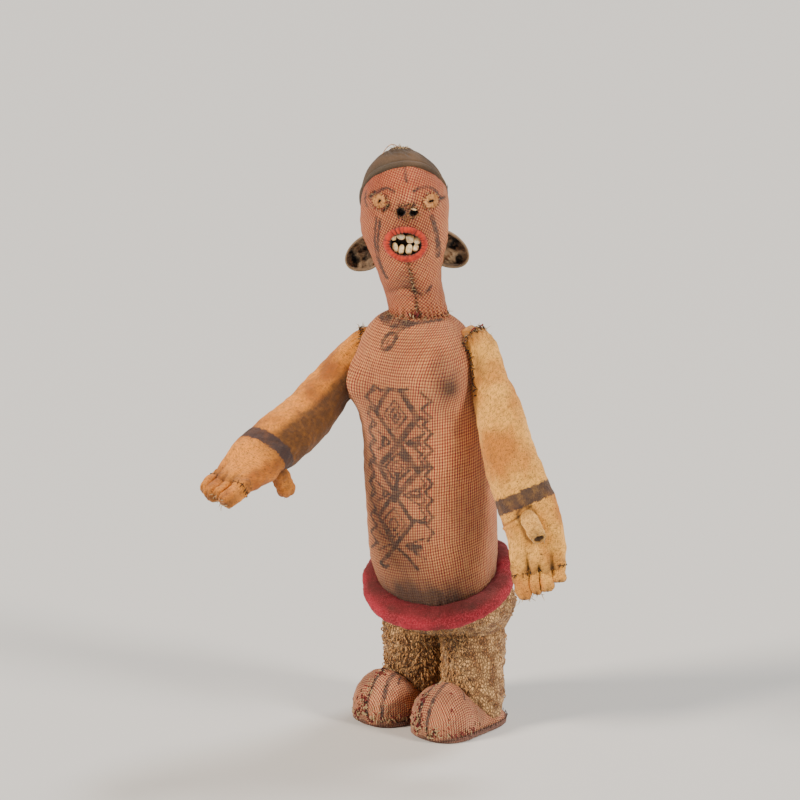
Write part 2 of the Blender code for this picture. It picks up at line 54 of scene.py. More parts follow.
def colour(hex_code):
    """Linear RGBA of an sRGB hex value."""
    parts = np.array([int(hex_code[i : i + 2], 16) for i in (1, 3, 5)]) / 255
    linear = np.where(parts <= 0.04045, parts / 12.92, ((parts + 0.055) / 1.055) ** 2.4)
    return (*linear.tolist(), 1.0)


def from_aim(turn, tilt, distance):
    """A point seen from the aim at a turn from the front, a tilt up and a distance."""
    way = (math.sin(turn) * math.cos(tilt), -math.cos(turn) * math.cos(tilt), math.sin(tilt))
    return AIM + distance * np.array(way)


def point_at_aim(thing, place):
    """The thing put in its place with its -Z axis towards the aim."""
    thing.location = place
    thing.rotation_euler = (Vector(AIM) - Vector(place)).to_track_quat("-Z", "Y").to_euler()
    bpy.context.scene.collection.objects.link(thing)


camera = bpy.data.cameras.new("camera")
camera.lens, camera.sensor_width = 95.4, 36.0
camera_object = bpy.data.objects.new("camera", camera)
point_at_aim(camera_object, from_aim(VIEW_TURN, VIEW_TILT, VIEW_DISTANCE))
bpy.context.scene.camera = camera_object

for name, turn, tilt, strength, tint in (
    ("left_lamp", -38, 30, 4.6, "#fff0de"),
    ("right_lamp", 92, 24, 3.2, "#fff2e2"),
    ("top_lamp", 160, 62, 1.8, "#ffffff"),
):
    lamp = bpy.data.lights.new(name, "SUN")
    lamp.angle, lamp.energy, lamp.color = LAMP_WIDTH, strength, colour(tint)[:3]
    place = from_aim(math.radians(turn), math.radians(tilt), LAMP_DISTANCE)
    point_at_aim(bpy.data.objects.new(name, lamp), place)

world = bpy.data.worlds.new("pale_room")
world.use_nodes = True
world.node_tree.nodes["Background"].inputs["Color"].default_value = colour("#dfe1e4")
world.node_tree.nodes["Background"].inputs["Strength"].default_value = 0.26
seen_room = world.node_tree.nodes.new("ShaderNodeBackground")  # what the camera sees past the floor
seen_room.inputs["Color"].default_value = colour("#e3dbd3")
seen_room.inputs["Strength"].default_value = 1.62
seen_or_lit = world.node_tree.nodes.new("ShaderNodeMixShader")
light_path = world.node_tree.nodes.new("ShaderNodeLightPath")
for socket, to in (
    (light_path.outputs["Is Camera Ray"], seen_or_lit.inputs[0]),
    (world.node_tree.nodes["Background"].outputs[0], seen_or_lit.inputs[1]),
    (seen_room.outputs[0], seen_or_lit.inputs[2]),
    (seen_or_lit.outputs[0], world.node_tree.nodes["World Output"].inputs["Surface"]),
):
    world.node_tree.links.new(socket, to)
bpy.context.scene.world = world

floor_mesh = bpy.data.meshes.new("floor")
corners = [(x * FLOOR_REACH, y * FLOOR_REACH, 0) for x, y in ((-1, -1), (1, -1), (1, 1), (-1, 1))]
floor_mesh.from_pydata(corners, [], [(0, 1, 2, 3)])
floor = bpy.data.objects.new("floor", floor_mesh)
bpy.context.scene.collection.objects.link(floor)
floor_paint = bpy.data.materials.new("matte_floor_paint")  # pale and even, with no shine of its own
floor_paint.use_nodes = True
floor_shader = floor_paint.node_tree.nodes["Principled BSDF"]
floor_shader.inputs["Base Color"].default_value = colour("#dcdcda")
floor_shader.inputs["Roughness"].default_value = 0.6
floor_mesh.materials.append(floor_paint)

# ---------------------------------------------------------------- torso
# A bag of hand-loomed cotton in a fine red and cream check, stuffed tight, with two breasts pushed
# out of the cloth. The ornament down the front, the collar and its pendant are painted on in thin
# dark dye. The bag is closed under the neck and tucked into the hip roll.

WAIST_Z, WAIST_X, WAIST_Y = 0.148, -0.0025, -0.0065
WAIST_SLOPE, WAIST_SIDE_SLOPE = 0.42, -0.12
TORSO_SECTIONS = (  # height, centre x, centre y, half width, half depth, slope of the section
    (0.1483, WAIST_X, WAIST_Y, 0.0400, 0.0330, WAIST_SLOPE),
    (0.1490, WAIST_X, WAIST_Y, 0.0552, 0.0458, WAIST_SLOPE),
    (0.160, -0.0030, -0.0098, 0.0592, 0.0496, 0.36),
    (0.175, -0.0035, -0.0122, 0.0620, 0.0507, 0.28),
    (0.205, -0.0045, -0.0160, 0.0635, 0.0515, 0.12),
    (0.245, -0.0055, -0.0200, 0.0635, 0.0515, 0.00),
    (0.295, -0.0065, -0.0230, 0.0630, 0.0510, 0.00),
    (0.335, -0.0080, -0.0270, 0.0625, 0.0510, 0.00),
    (0.365, -0.0090, -0.0300, 0.0600, 0.0475, 0.00),
    (0.388, -0.0095, -0.0330, 0.0520, 0.0405, 0.00),
    (0.402, -0.0100, -0.0340, 0.0390, 0.0320, 0.00),
    (0.410, -0.0100, -0.0340, 0.0220, 0.0190, 0.00),
)
CHEST_SECTION = 7  # the one that the breasts stand on
TORSO_SQUARENESS = 2.2
TORSO_GRID = (180, 230)
NECK_X, NECK_Y, NECK_RADIUS = -0.0090, -0.0340, 0.0265
BREASTS = (  # turned from the front towards the figure's left, and height
    (math.radians(-54), 0.3430),
    (math.radians(46), 0.3500),
)
BREAST_HEIGHT, BREAST_SPREAD = 0.0150, 0.0135

CHECK_PITCH = (0.00234, 0.00286)  # from one red thread to the next, round the bag and along it
CHECK_LEAN = (  # height and how far the upright threads have moved to the figure's left by there
    (0.150, 0.0),
    (0.200, -0.0036),
    (0.300, 0.0019),
    (0.330, 0.0042),
    (0.355, 0.0077),
    (0.375, 0.0145),
    (0.400, 0.0295),
)
NO_STROKE = 0.02  # a distance to paint that leaves the cloth bare
MM = 0.001
FACTOR, UNDER, OVER, MIXED = 0, 6, 7, 2  # the sockets of a Mix node that mixes two colours


def step(value, start, end):
    """0 before the start, 1 after the end, eased between."""
    t = np.clip((value - start) / (end - start), 0, 1)
    return t * t * (3 - 2 * t)


def through(values, at):
    """Smooth curve through evenly spaced values: a cubic between each two, sloped by the neighbours."""
    slopes = np.gradient(values)
    i = np.clip(np.floor(at).astype(int), 0, len(values) - 2)
    t = at - i
    return (
        (2 * t**3 - 3 * t**2 + 1) * values[i]
        + (t**3 - 2 * t**2 + t) * slopes[i]
        + (3 * t**2 - 2 * t**3) * values[i + 1]
        + (t**3 - t**2) * slopes[i + 1]
    )


def sections_at(table, rows, measure):
    """A table's columns at rows that lie evenly along the length that the measured columns make."""
    table = np.array(table, float)
    fine = np.linspace(0, len(table) - 1, 1200)
    smooth = np.stack([through(column, fine) for column in table.T], axis=-1)
    length = np.append(0, np.cumsum(np.linalg.norm(np.diff(smooth[:, measure], axis=0), axis=1)))
    at = np.linspace(0, length[-1], rows)
    return [np.interp(at, length, column)[:, None] for column in smooth.T]


def round_turn(count):
    """Angles evenly all the way round."""
    return np.arange(count) / count * math.tau


def softened(value, power):
    """The value's size raised to a power, with its sign kept."""
    return np.sign(value) * abs(value) ** power


def oval(sides, squareness, crowd=0.0):
    """A unit superellipse as (across, ahead), from the back round, its places crowded to the front."""
    angle = round_turn(sides)
    angle = angle + crowd * np.sin(angle) + math.pi
    return softened(np.sin(angle), 2 / squareness), softened(np.cos(angle), 2 / squareness)


def turned(across, ahead, turn):
    """x and y of a step across and ahead for a piece that faces -Y turned towards +X."""
    return (
        across * math.cos(turn) + ahead * math.sin(turn),
        across * math.sin(turn) - ahead * math.cos(turn),
    )


def ripples(points, size, seed):
    """Soft uneven swell, about -1 to 1: plane waves of random direction about one size long, added up."""
    random = np.random.default_rng(seed)
    waves = 14
    way = random.normal(size=(waves, 3))
    way /= np.linalg.norm(way, axis=1)[:, None]
    way *= (math.tau / size / random.uniform(0.7, 1.5, waves))[:, None]
    return np.sin(points @ way.T + random.uniform(0, math.tau, waves)).sum(-1) / math.sqrt(waves)


def unit_of(vectors):
    """The vectors at length 1."""
    return vectors / np.maximum(np.linalg.norm(vectors, axis=-1, keepdims=True), 1e-12)


def outwards(points):
    """Unit normals of a grid, from the steps to the neighbours both ways, turned out of its rings."""
    padded = np.concatenate([points[:, -1:], points, points[:, :1]], axis=1)
    normal = unit_of(np.cross(padded[:, 2:] - padded[:, :-2], np.gradient(points, axis=0)))
    return normal * np.sign((normal * (points - points.mean(1, keepdims=True))).sum())


def cloth_lengths(points, first_row=0):
    """Distance round from the middle column and along from one row, in metres, as the cloth lies."""
    points = np.concatenate([points, points[:, :1]], axis=1)
    step_round = np.linalg.norm(np.diff(points, axis=1), axis=-1)
    step_along = np.linalg.norm(np.diff(points, axis=0), axis=-1)
    u = np.concatenate([np.zeros((len(points), 1)), np.cumsum(step_round, axis=1)], axis=1)
    v = np.concatenate([np.zeros((1, points.shape[1])), np.cumsum(step_along, axis=0)])
    u -= u[:, [points.shape[1] // 2]]
    return np.stack([u, v - v[[first_row]]], axis=-1)


def from_strokes(u, v, strokes):
    """Distance outside the nearest painted stroke: each stroke is a half width and points joined up."""
    nearest = np.full(u.shape, NO_STROKE)
    for half_width, points in strokes:
        points = np.array(points, float) * MM
        for start, end in zip(points[:-1], points[1:]):
            run = end - start
            t = np.clip(((u - start[0]) * run[0] + (v - start[1]) * run[1]) / (run @ run), 0, 1)
            away = np.hypot(u - start[0] - t * run[0], v - start[1] - t * run[1])
            nearest = np.minimum(nearest, away - half_width * MM)
    return nearest


def surface(name, points, material, uv=None, marks=None, ends=(True, True), tyre=False):
    """A mesh over a grid: rows along the piece, columns round it, and a fan to each closed end's middle."""
    rows, cols = points.shape[:2]
    index = np.arange(rows * cols).reshape(rows, cols)
    wrapped = np.concatenate([index, index[:, :1]], axis=1)
    wrapped = np.concatenate([wrapped, wrapped[:1]]) if tyre else wrapped
    uv = np.zeros((*wrapped.shape, 2)) if uv is None else uv
    uv_index = np.arange(wrapped.size).reshape(wrapped.shape)
    quads, uv_quads = (
        np.stack([grid[:-1, :-1], grid[:-1, 1:], grid[1:, 1:], grid[1:, :-1]], -1).reshape(-1, 4)
        for grid in (wrapped, uv_index)
    )
    places, uvs = [points.reshape(-1, 3)], [uv.reshape(-1, 2)]
    values = {key: [value.reshape(-1)] for key, value in (marks or {}).items()}
    loops, uv_loops, counts = [quads.ravel()], [uv_quads.ravel()], [np.full(len(quads), 4)]
    for row, wanted, order in ((0, ends[0], (1, 0, 2)), (-1, ends[1], (0, 1, 2))):
        if wanted and not tyre:
            for grid, points_so_far, corners in ((wrapped, places, loops), (uv_index, uvs, uv_loops)):
                middle = np.full(cols, sum(map(len, points_so_far)))
                fan = np.stack([grid[row, :-1], grid[row, 1:], middle], -1)
                corners.append(fan[:, order].ravel())
            places.append(points[row].mean(0)[None])
            uvs.append(uv[row].mean(0)[None])
            for key, value in (marks or {}).items():
                values[key].append(value[row].mean()[None])
            counts.append(np.full(cols, 3))
    return mesh_object(name, places, loops, counts, material, uvs, uv_loops, values)


def mesh_object(name, places, loops, counts, material, uvs=None, uv_loops=None, values=None):
    """An object from lists of points, of corner numbers and of corners per face, faces turned outwards."""
    places, loops, counts = np.concatenate(places), np.concatenate(loops), np.concatenate(counts)
    places = places + FIGURE_PLACE
    starts = np.append(0, np.cumsum(counts)[:-1])
    mesh = bpy.data.meshes.new(name)
    mesh.vertices.add(len(places))
    mesh.vertices.foreach_set("co", places.ravel().astype(np.float32))
    mesh.loops.add(len(loops))
    mesh.polygons.add(len(counts))
    mesh.polygons.foreach_set("loop_start", starts.astype(np.int32))
    mesh.loops.foreach_set("vertex_index", loops.astype(np.int32))
    if uvs is not None:
        corner_uvs = np.concatenate(uvs)[np.concatenate(uv_loops)]
        layer = mesh.uv_layers.new(name="cloth")
        layer.uv.foreach_set("vector", corner_uvs.ravel().astype(np.float32))
    for key, value in (values or {}).items():
        mark = mesh.attributes.new(key, "FLOAT", "POINT")
        mark.data.foreach_set("value", np.concatenate(value).astype(np.float32))
    mesh.update(calc_edges=True)
    mesh.validate()
    a, b, c = (places[loops[starts + k]] for k in range(3))
    middle = places.mean(0)
    if (np.cross(b - a, c - a) * (a - middle)).sum() < 0:
        mesh.flip_normals()
    mesh.shade_smooth()
    mesh.materials.append(material)
    made = bpy.data.objects.new(name, mesh)
    bpy.context.scene.collection.objects.link(made)
    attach(made, "root")
    return made


def add(material, kind, inputs=(), output=0, **settings):
    """One output of a new node, its settings made and its inputs, in order or by key, set or joined."""
    tree = material.node_tree
    made = tree.nodes.new("ShaderNode" + kind)
    for key, value in settings.items():
        setattr(made, key, value)
    for key, value in inputs.items() if isinstance(inputs, dict) else enumerate(inputs):
        if isinstance(value, bpy.types.NodeSocket):
            tree.links.new(value, made.inputs[key])
        else:
            made.inputs[key].default_value = value
    return made.outputs[output]


def new_material(name, roughness, **shader):
    """A material with its shader's own plain settings made."""
    material = bpy.data.materials.new(name)
    material.use_nodes = True
    principled = material.node_tree.nodes["Principled BSDF"]
    principled.inputs["Roughness"].default_value = roughness
    for key, value in shader.items():
        principled.inputs[key.replace("_", " ").title()].default_value = value
    return material


def finish(material, base_colour, height, distance):
    """The colour joined to the shader, and the height, raised by up to a distance, to its normal."""
    shader = material.node_tree.nodes["Principled BSDF"].inputs
    raised = add(material, "Bump", {"Height": height, "Distance": distance})
    material.node_tree.links.new(base_colour, shader["Base Color"])
    material.node_tree.links.new(raised, shader["Normal"])


def spots(material, size, detail=3.0, levels=None, span=(0.0, 1.0), vector=None):
    """Uneven value in spots about one size in mm across, on the piece's own coordinates.

    Two levels, where given, are carried smoothly to the two ends of a span, and held past them.
    """
    vector = vector or add(material, "TexCoord", output="Object")
    value = add(material, "TexNoise", {"Vector": vector, "Scale": 1 / (size * MM), "Detail": detail})
    if levels is None:
        return value
    return add(material, "MapRange", (value, *levels, *span), interpolation_type="SMOOTHSTEP")


def mottled(material, ground, other, size, detail=3.0, levels=None, most=1.0):
    """The ground's colour with another in spots about one size in mm across, covering at most so much."""
    cover = spots(material, size, detail, levels, (0.0, most))
    inputs = {FACTOR: cover, UNDER: ground, OVER: colour(other)}
    return add(material, "Mix", inputs, MIXED, data_type="RGBA")


def tinted_by_mark(material, ground, other, mark="dirt_and_shade"):
    """The ground's colour with another as far as a mark on the mesh says; the default mark holds both real
    dirt and painted shade.
    """
    cover = add(material, "Attribute", output="Fac", attribute_name=mark)
    inputs = {FACTOR: cover, UNDER: ground, OVER: colour(other)}
    return add(material, "Mix", inputs, MIXED, data_type="RGBA")


def dyed(material, ground, dye="#717c98", blend_type="MULTIPLY", depth=1.0, worn_to=0.55):
    """The ground's colour with thin dark dye wherever the distance to a painted stroke is below zero."""
    away = add(material, "Attribute", output="Fac", attribute_name="stroke")
    wander = spots(material, 2.2, 3.0, (0.25, 0.75), (-0.0008, 0.0008))
    edge = add(material, "Math", (away, wander), operation="ADD")
    there = add(material, "MapRange", (edge, 0.0008, -0.0009, 0.0, depth), interpolation_type="SMOOTHSTEP")
    worn = spots(material, 9, 3.0, (0.28, 0.60), (worn_to, 1.0))
    cover = add(material, "Math", (there, worn), operation="MULTIPLY")
    inputs = {FACTOR: cover, UNDER: ground, OVER: colour(dye)}
    return add(material, "Mix", inputs, MIXED, data_type="RGBA", blend_type=blend_type)


def checked_cotton(name, cream, red, maroon, pitches, row_depth=0.70):
    """Loomed cotton: red and cream stripes both ways, fainter in the rows, darkest where two reds cross."""
    material = new_material(name, 0.88, sheen_weight=0.12)
    uv = add(material, "UVMap", uv_map="cloth")
    sway = add(material, "TexNoise", {"Vector": uv, "Scale": 1 / (12 * MM), "Detail": 2.0}, "Color")
    shift = add(material, "VectorMath", (sway, (0.5, 0.5, 0.5)), operation="SUBTRACT")
    shift = add(material, "VectorMath", {0: shift, "Scale": 1.1 * MM}, operation="SCALE")
    laid = add(material, "VectorMath", (uv, shift), operation="ADD")
    axes = add(material, "SeparateXYZ", (laid,)).node.outputs
    stripes, ribs = [], []
    for axis, pitch, stretch, depth in (
        (axes["X"], pitches[0], (1, 0.1, 1), 1.0),
        (axes["Y"], pitches[1], (0.1, 1, 1), row_depth),
    ):
        turns = add(material, "Math", (axis, math.tau / pitch), operation="MULTIPLY")
        wave = add(material, "Math", (turns,), operation="COSINE")
        stripe = add(material, "MapRange", (wave, -0.45, 0.45), interpolation_type="SMOOTHSTEP")
        streaks = add(material, "VectorMath", (laid, stretch), operation="MULTIPLY")
        uneven = spots(material, 2.6, 1.0, (0.30, 0.62), (0.70 * depth, depth), streaks)
        stripes.append(add(material, "Math", (stripe, uneven), operation="MULTIPLY"))
        turns = add(material, "Math", (turns, 2.0), operation="MULTIPLY")
        ribs.append(add(material, "Math", (turns,), operation="COSINE"))
    either = add(material, "Math", stripes, operation="MAXIMUM")
    both = add(material, "Math", stripes, operation="MULTIPLY")
    fading = spots(material, 7, 3.0, (0.3, 0.7), (1.0, 1.5))
    deepened = add(material, "Math", (both, fading), operation="MULTIPLY")
    check = colour(cream)
    for cover, tint in ((either, red), (deepened, maroon)):
        inputs = {FACTOR: cover, UNDER: check, OVER: colour(tint)}
        check = add(material, "Mix", inputs, MIXED, data_type="RGBA")
    check = mottled(material, check, "#8a4a30", 45, 5.0, (0.35, 0.7), 0.30)
    check = tinted_by_mark(material, check, "#b43a16", "blush")
    # Darkened as far as the default mark says: real dirt, and painted shade in hollows, holes and creases.
    check = tinted_by_mark(material, check, "#2c1c10")
    weave = add(material, "Math", ribs, operation="ADD")
    lumps = spots(material, 1.6, 2.0, (0.2, 0.8), (-1.5, 1.5))
    weave = add(material, "Math", (weave, lumps), operation="ADD")
    finish(material, dyed(material, check), weave, 0.00032)
    return material


# Loomed cotton, hand dyed: matt, with an uneven fine red check that goes maroon where two reds cross.
body_check = checked_cotton("loomed_check_cotton", "#ffc97e", "#d63a1a", "#36051a", CHECK_PITCH)

rows, cols = TORSO_GRID
z, x, y, wide, deep, slope = sections_at(TORSO_SECTIONS, rows, (0, 3))
across, ahead = oval(cols, TORSO_SQUARENESS)
rise = slope * (WAIST_SIDE_SLOPE * wide * across - deep * ahead)
torso = np.stack([x + wide * across, y - deep * ahead, z + rise], axis=-1)
uv = cloth_lengths(torso, first_row=rows // 2)
chest_x, chest_y, chest_wide, chest_deep = TORSO_SECTIONS[CHEST_SECTION][1:5]
dirt_and_shade = np.zeros((rows, cols))
for angle, breast_z in BREASTS:
    root = (chest_x + chest_wide * math.sin(angle), chest_y - chest_deep * math.cos(angle), breast_z)
    away = ((torso - root) ** 2).sum(-1)
    out = np.array([math.sin(angle), -math.cos(angle), -0.1])
    torso = torso + (BREAST_HEIGHT * np.exp(-away / (2 * BREAST_SPREAD**2)))[..., None] * out
    if angle > 0:  # the left nipple is worn dark
        dirt_and_shade += 0.55 * np.exp(-away / (2 * 0.0062**2)) + 0.34 * np.exp(-away / (2 * 0.0125**2))
torso_normal = outwards(torso)
turn = np.arctan2(torso[..., 0] - x, -(torso[..., 1] - y))
from_neck = np.hypot(torso[..., 0] - NECK_X, torso[..., 1] - NECK_Y) - NECK_RADIUS
near_neck = np.exp(-np.clip(from_neck, 0, 1) / 0.007) * (z > 0.38)
low = np.exp(-np.clip(z - WAIST_Z, 0, 1) / 0.020)
gathers = near_neck * 0.0009 * np.sin(turn * 34 + 2 * ripples(torso, 0.03, 1))
tucks = low * 0.0005 * np.sin(turn * 40 + 2.5 * ripples(torso, 0.04, 2))
swell = 0.0007 * ripples(torso, 0.06, 3) + 0.00025 * ripples(torso, 0.012, 4)
back_groove = -0.0010 * np.exp(-((uv[:, :-1, 0] - uv[:, :1, 0]) ** 2) / 0.0018**2)
torso = torso + (gathers + tucks + swell + back_groove)[..., None] * torso_normal
u = uv[:, :-1, 0]
height = torso[..., 2]

LOZENGE_LEAN = 0.09  # across for height


def lozenge(middle, height, half_width, half_height, half_line):
    """A diamond whose lower half leans to the figure's right."""
    top = (middle + LOZENGE_LEAN * half_height, height + half_height)
    bottom = (middle - LOZENGE_LEAN * half_height, height - half_height)
    return half_line, [top, (middle + half_width, height), bottom, (middle - half_width, height), top]


def chevron(inner, outer, height, reach, half_line):
    """Two lines that meet at an inner point."""
    return half_line, [(outer, height + reach), (inner, height), (outer, height - reach)]


def zigzag(inner, outer, top, drop, count, half_line):
    """A line that goes down, turning between an inner and an outer line; both pairs are top and bottom."""
    share = [k / (count - 1) for k in range(count)]
    sides = [(outer if k % 2 else inner) for k in range(count)]
    return half_line, [(a + t * (b - a), top - t * drop) for t, (a, b) in zip(share, sides)]


ORNAMENT = [  # half width in mm, then points as mm from the front's middle and mm of height
    (2.4, [(-7, 342), (-22, 319), (0, 291)]),
    (3.2, [(8, 342), (22, 319), (0, 291)]),
    (1.6, [(-27, 338), (-22, 344), (-16, 340), (-7, 343), (8, 342), (14, 345)]),
    lozenge(-1, 267, 21, 25, 2.8),
    lozenge(-8, 217, 20, 26, 2.3),
    (2.2, [(-2, 262), (-4, 241), (-6, 236)]),
    (2.6, [(2, 282), (19, 268)]),
    lozenge(-1, 318, 12.5, 15, 1.1),
    lozenge(-1, 318, 6.5, 8, 1.1),
    lozenge(-2, 268, 13, 14, 1.5),
    lozenge(-2, 268, 7, 7.5, 1.1),
    lozenge(-2, 268, 1, 1.2, 1.0),
    lozenge(-1, 318, 1.5, 2, 1.2),
    lozenge(-9, 214, 13, 15, 1.0),
    lozenge(-9, 213, 6, 7, 0.9),
    (2.0, [(-9, 191), (-22, 178), (-33, 169), (-27, 166), (-22, 169)]),
    (1.8, [(-8, 190), (4, 182), (14, 172)]),
    (3.0, [(-2, 244), (-8, 238)]),
    (2.6, [(13, 293), (20, 294)]),
    (2.2, [(16, 293), (18, 290)]),
    (2.2, [(12, 243), (20, 243)]),
    (3.6, [(7, 193), (17, 193)]),
    (2.4, [(11, 191), (14, 187)]),
    (2.2, [(-16, 296), (-17, 289)]),
    (1.8, [(-17, 246), (-19, 240)]),
    (2.4, [(22, 319), (30, 318)]),
    (2.6, [(20, 270), (29, 273)]),
    (2.0, [(11, 220), (26, 218)]),
    (2.2, [(-22, 319), (-28, 322)]),
    (2.2, [(-22, 267), (-31, 270)]),
    (2.0, [(-28, 217), (-37, 220)]),
    chevron(7, 25, 293, 9, 1.2),
    chevron(4, 27, 243, 11, 1.2),
    chevron(-8, -23, 292, 9, 1.2),
    chevron(-11, -28, 242, 10, 1.2),
    chevron(2, 22, 193, 10, 1.1),
    chevron(-12, -33, 193, 10, 1.1),
    zigzag((27, 25), (36, 31), 343, 142, 19, 1.5),
    zigzag((21, 19), (28, 25), 312, 96, 13, 1.1),
    zigzag((-21, -34), (-31, -48), 341, 160, 20, 1.5),
    zigzag((-26, -30), (-33, -40), 326, 90, 12, 1.1),
]
ring_turn = np.linspace(0, math.tau, 13)
long_way, short_way = 9.5 * np.cos(ring_turn), 5.4 * np.sin(ring_turn)
PENDANT = [  # a tilted oval ring with a small pin, and the loop it hangs by
    (2.1, list(zip(-7 + 0.66 * long_way - 0.75 * short_way, 386 + 0.75 * long_way + 0.66 * short_way))),
    (1.1, [(-9, 384), (-6, 388)]),
    (1.8, [(0, 393), (4, 399)]),
]
stroke = from_strokes(u, height, ORNAMENT + PENDANT)
collar_half = np.interp(turn, (-1.6, -1.0, 0.15, 0.5), (0.0010, 0.0046, 0.0040, 0.0020))
in_front = abs(turn + 0.1) < 1.5
collar = abs(from_neck - 0.0052) + np.where(in_front, -collar_half, 0.01)
stroke = np.where(height > 0.39, np.minimum(stroke, collar), stroke)
patchiness = 1 + 0.25 * ripples(torso, 0.018, 5)
# Darker low on the front just above the roll, and a smudge above the left nipple.
dirt_and_shade += 0.72 * patchiness * np.exp(-(((u - 0.013) / 0.042) ** 2 + ((height - 0.142) / 0.019) ** 2))
dirt_and_shade += 0.42 * patchiness * np.exp(-(((u - 0.046) / 0.015) ** 2 + ((height - 0.366) / 0.012) ** 2))
down_front = np.exp(-(((u + 0.003) / 0.036) ** 4)) * step(height, 0.160, 0.175) * step(height, 0.352, 0.338)
# A grey-brown wash down the front's middle, painted shade that deepens towards the hip roll, and darker round
# the neck.
dirt_and_shade += 0.24 * patchiness * down_front + 0.74 * low + 0.12 * near_neck
closed = np.append(height, height[:, :1], axis=1)
uv[..., 1] -= 0.24 * (np.hypot(uv[..., 0], 0.040) - 0.040)  # the rows sag towards both sides
uv[..., 1] -= 0.15 * 0.06 * np.tanh(uv[..., 0] / 0.06) * step(closed, 0.255, 0.190)  # and slope below
uv[..., 0] -= np.interp(closed, *np.transpose(CHECK_LEAN))
marks = {"stroke": stroke, "dirt_and_shade": np.clip(dirt_and_shade, 0, 0.86)}
torso_bag = surface("torso_bag", torso, body_check, uv, marks)
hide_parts("torso")

# ---------------------------------------------------------------- head and neck
# A second bag of the check, cut askew and stuffed hard, turned to the figure's left. It is pushed in
# for the mouth, holed for nostrils and pupils, and gathered into a seam from the chin to the neck.

HEAD_TURN = math.radians(30)
HEAD_SECTIONS = (  # height, centre x, centre y, half width, half depth
    (0.388, -0.0090, -0.0340, 0.0290, 0.0280),
    (0.405, -0.0085, -0.0340, 0.0268, 0.0262),
    (0.425, -0.0110, -0.0370, 0.0272, 0.0275),
    (0.443, -0.0140, -0.0400, 0.0290, 0.0315),
    (0.460, -0.0165, -0.0415, 0.0335, 0.0370),
    (0.480, -0.0175, -0.0425, 0.0392, 0.0405),
    (0.502, -0.0180, -0.0430, 0.0403, 0.0415),
    (0.521, -0.0185, -0.0430, 0.0380, 0.0400),
    (0.537, -0.0200, -0.0435, 0.0312, 0.0345),
    (0.549, -0.0210, -0.0435, 0.0210, 0.0240),
    (0.556, -0.0215, -0.0435, 0.0095, 0.0110),
)
HEAD_SQUARENESS = 2.1
HEAD_GRID = (204, 244)
FACE_PITCH = (0.00222, 0.00240)
NOSE_ACROSS, NOSE_Z, NOSE_HEIGHT, NOSE_SPREAD = 0.0036, 0.5125, 0.0056, 0.0050
NOSTRIL_APART, NOSTRIL_Z, NOSTRIL_RADIUS = 0.0108, 0.5064, 0.0036
MOUTH_ACROSS, MOUTH_Z = 0.0010, 0.4770
MOUTH_HALF_WIDTH, MOUTH_HALF_HEIGHT, MOUTH_DEPTH = 0.0142, 0.0108, 0.0110
EYE_ACROSS, EYE_Z, EYE_APART = 0.0018, 0.5152, 0.0462


def bell(distance, width):
    """1 at no distance, falling off over a width."""
    return np.exp(-((distance / width) ** 2))


def near_line(u, v, points, width):
    """1 on a line through points in mm, falling off over a width."""
    return bell(from_strokes(u, v, [(0, points)]), width)


def head_section(z):
    """Centre, half width and half depth of the head at a height."""
    table = np.array(HEAD_SECTIONS)
    place = np.interp(z, table[:, 0], np.arange(len(table)))
    return [through(table[:, column], place) for column in range(1, 5)]


def face_point(across, z, out=0.0):
    """A point of the face at a distance across from its middle and a height, stood out by out."""
    x, y, wide, deep = head_section(np.asarray(z, float))
    share = np.clip(1 - abs(across / wide) ** HEAD_SQUARENESS, 0, 1) ** (1 / HEAD_SQUARENESS)
    dx, dy = turned(across, deep * share + out, HEAD_TURN)
    return np.stack([x + dx, y + dy, z + 0 * dx], axis=-1)


facing = np.array([*turned(0, 1, HEAD_TURN), 0])
rows, cols = HEAD_GRID
z, x, y, wide, deep = sections_at(HEAD_SECTIONS, rows, (0, 3))
across, ahead = oval(cols, HEAD_SQUARENESS, crowd=0.45)  # finest at the face
side, height = wide * across, z + 0 * across
dx, dy = turned(side, deep * ahead, HEAD_TURN)
head = np.stack([x + dx, y + dy, height], axis=-1)
uv = cloth_lengths(head, first_row=rows // 2)
front = step(ahead, 0.0, 0.25)
from_nose = np.hypot(side - NOSE_ACROSS, height - NOSE_Z)
push = NOSE_HEIGHT * bell(from_nose, NOSE_SPREAD * math.sqrt(2))
push += 0.0016 * bell(side - NOSE_ACROSS, 0.006) * bell(height - 0.527, 0.014)
push += 0.0016 * bell(np.hypot((side - 0.002) / 0.018, (height - 0.4555) / 0.008), 1)
in_mouth = np.hypot((side - MOUTH_ACROSS) / MOUTH_HALF_WIDTH, (height - MOUTH_Z) / MOUTH_HALF_HEIGHT)
hollow = step(in_mouth, 1.02, 0.80)
push -= MOUTH_DEPTH * hollow
# Painted shade: near black inside the mouth's hollow. Darker round the nostrils and below the nose.
dirt_and_shade = 0.98 * step(in_mouth, 1.12, 0.98)
dirt_and_shade = np.maximum(dirt_and_shade, 0.64 * bell(np.hypot(side - NOSE_ACROSS, (height - 0.5075) * 1.15), 0.0100))
dirt_and_shade = np.maximum(dirt_and_shade, 0.36 * bell(side - 0.0035, 0.011) * bell(height - 0.497, 0.010))
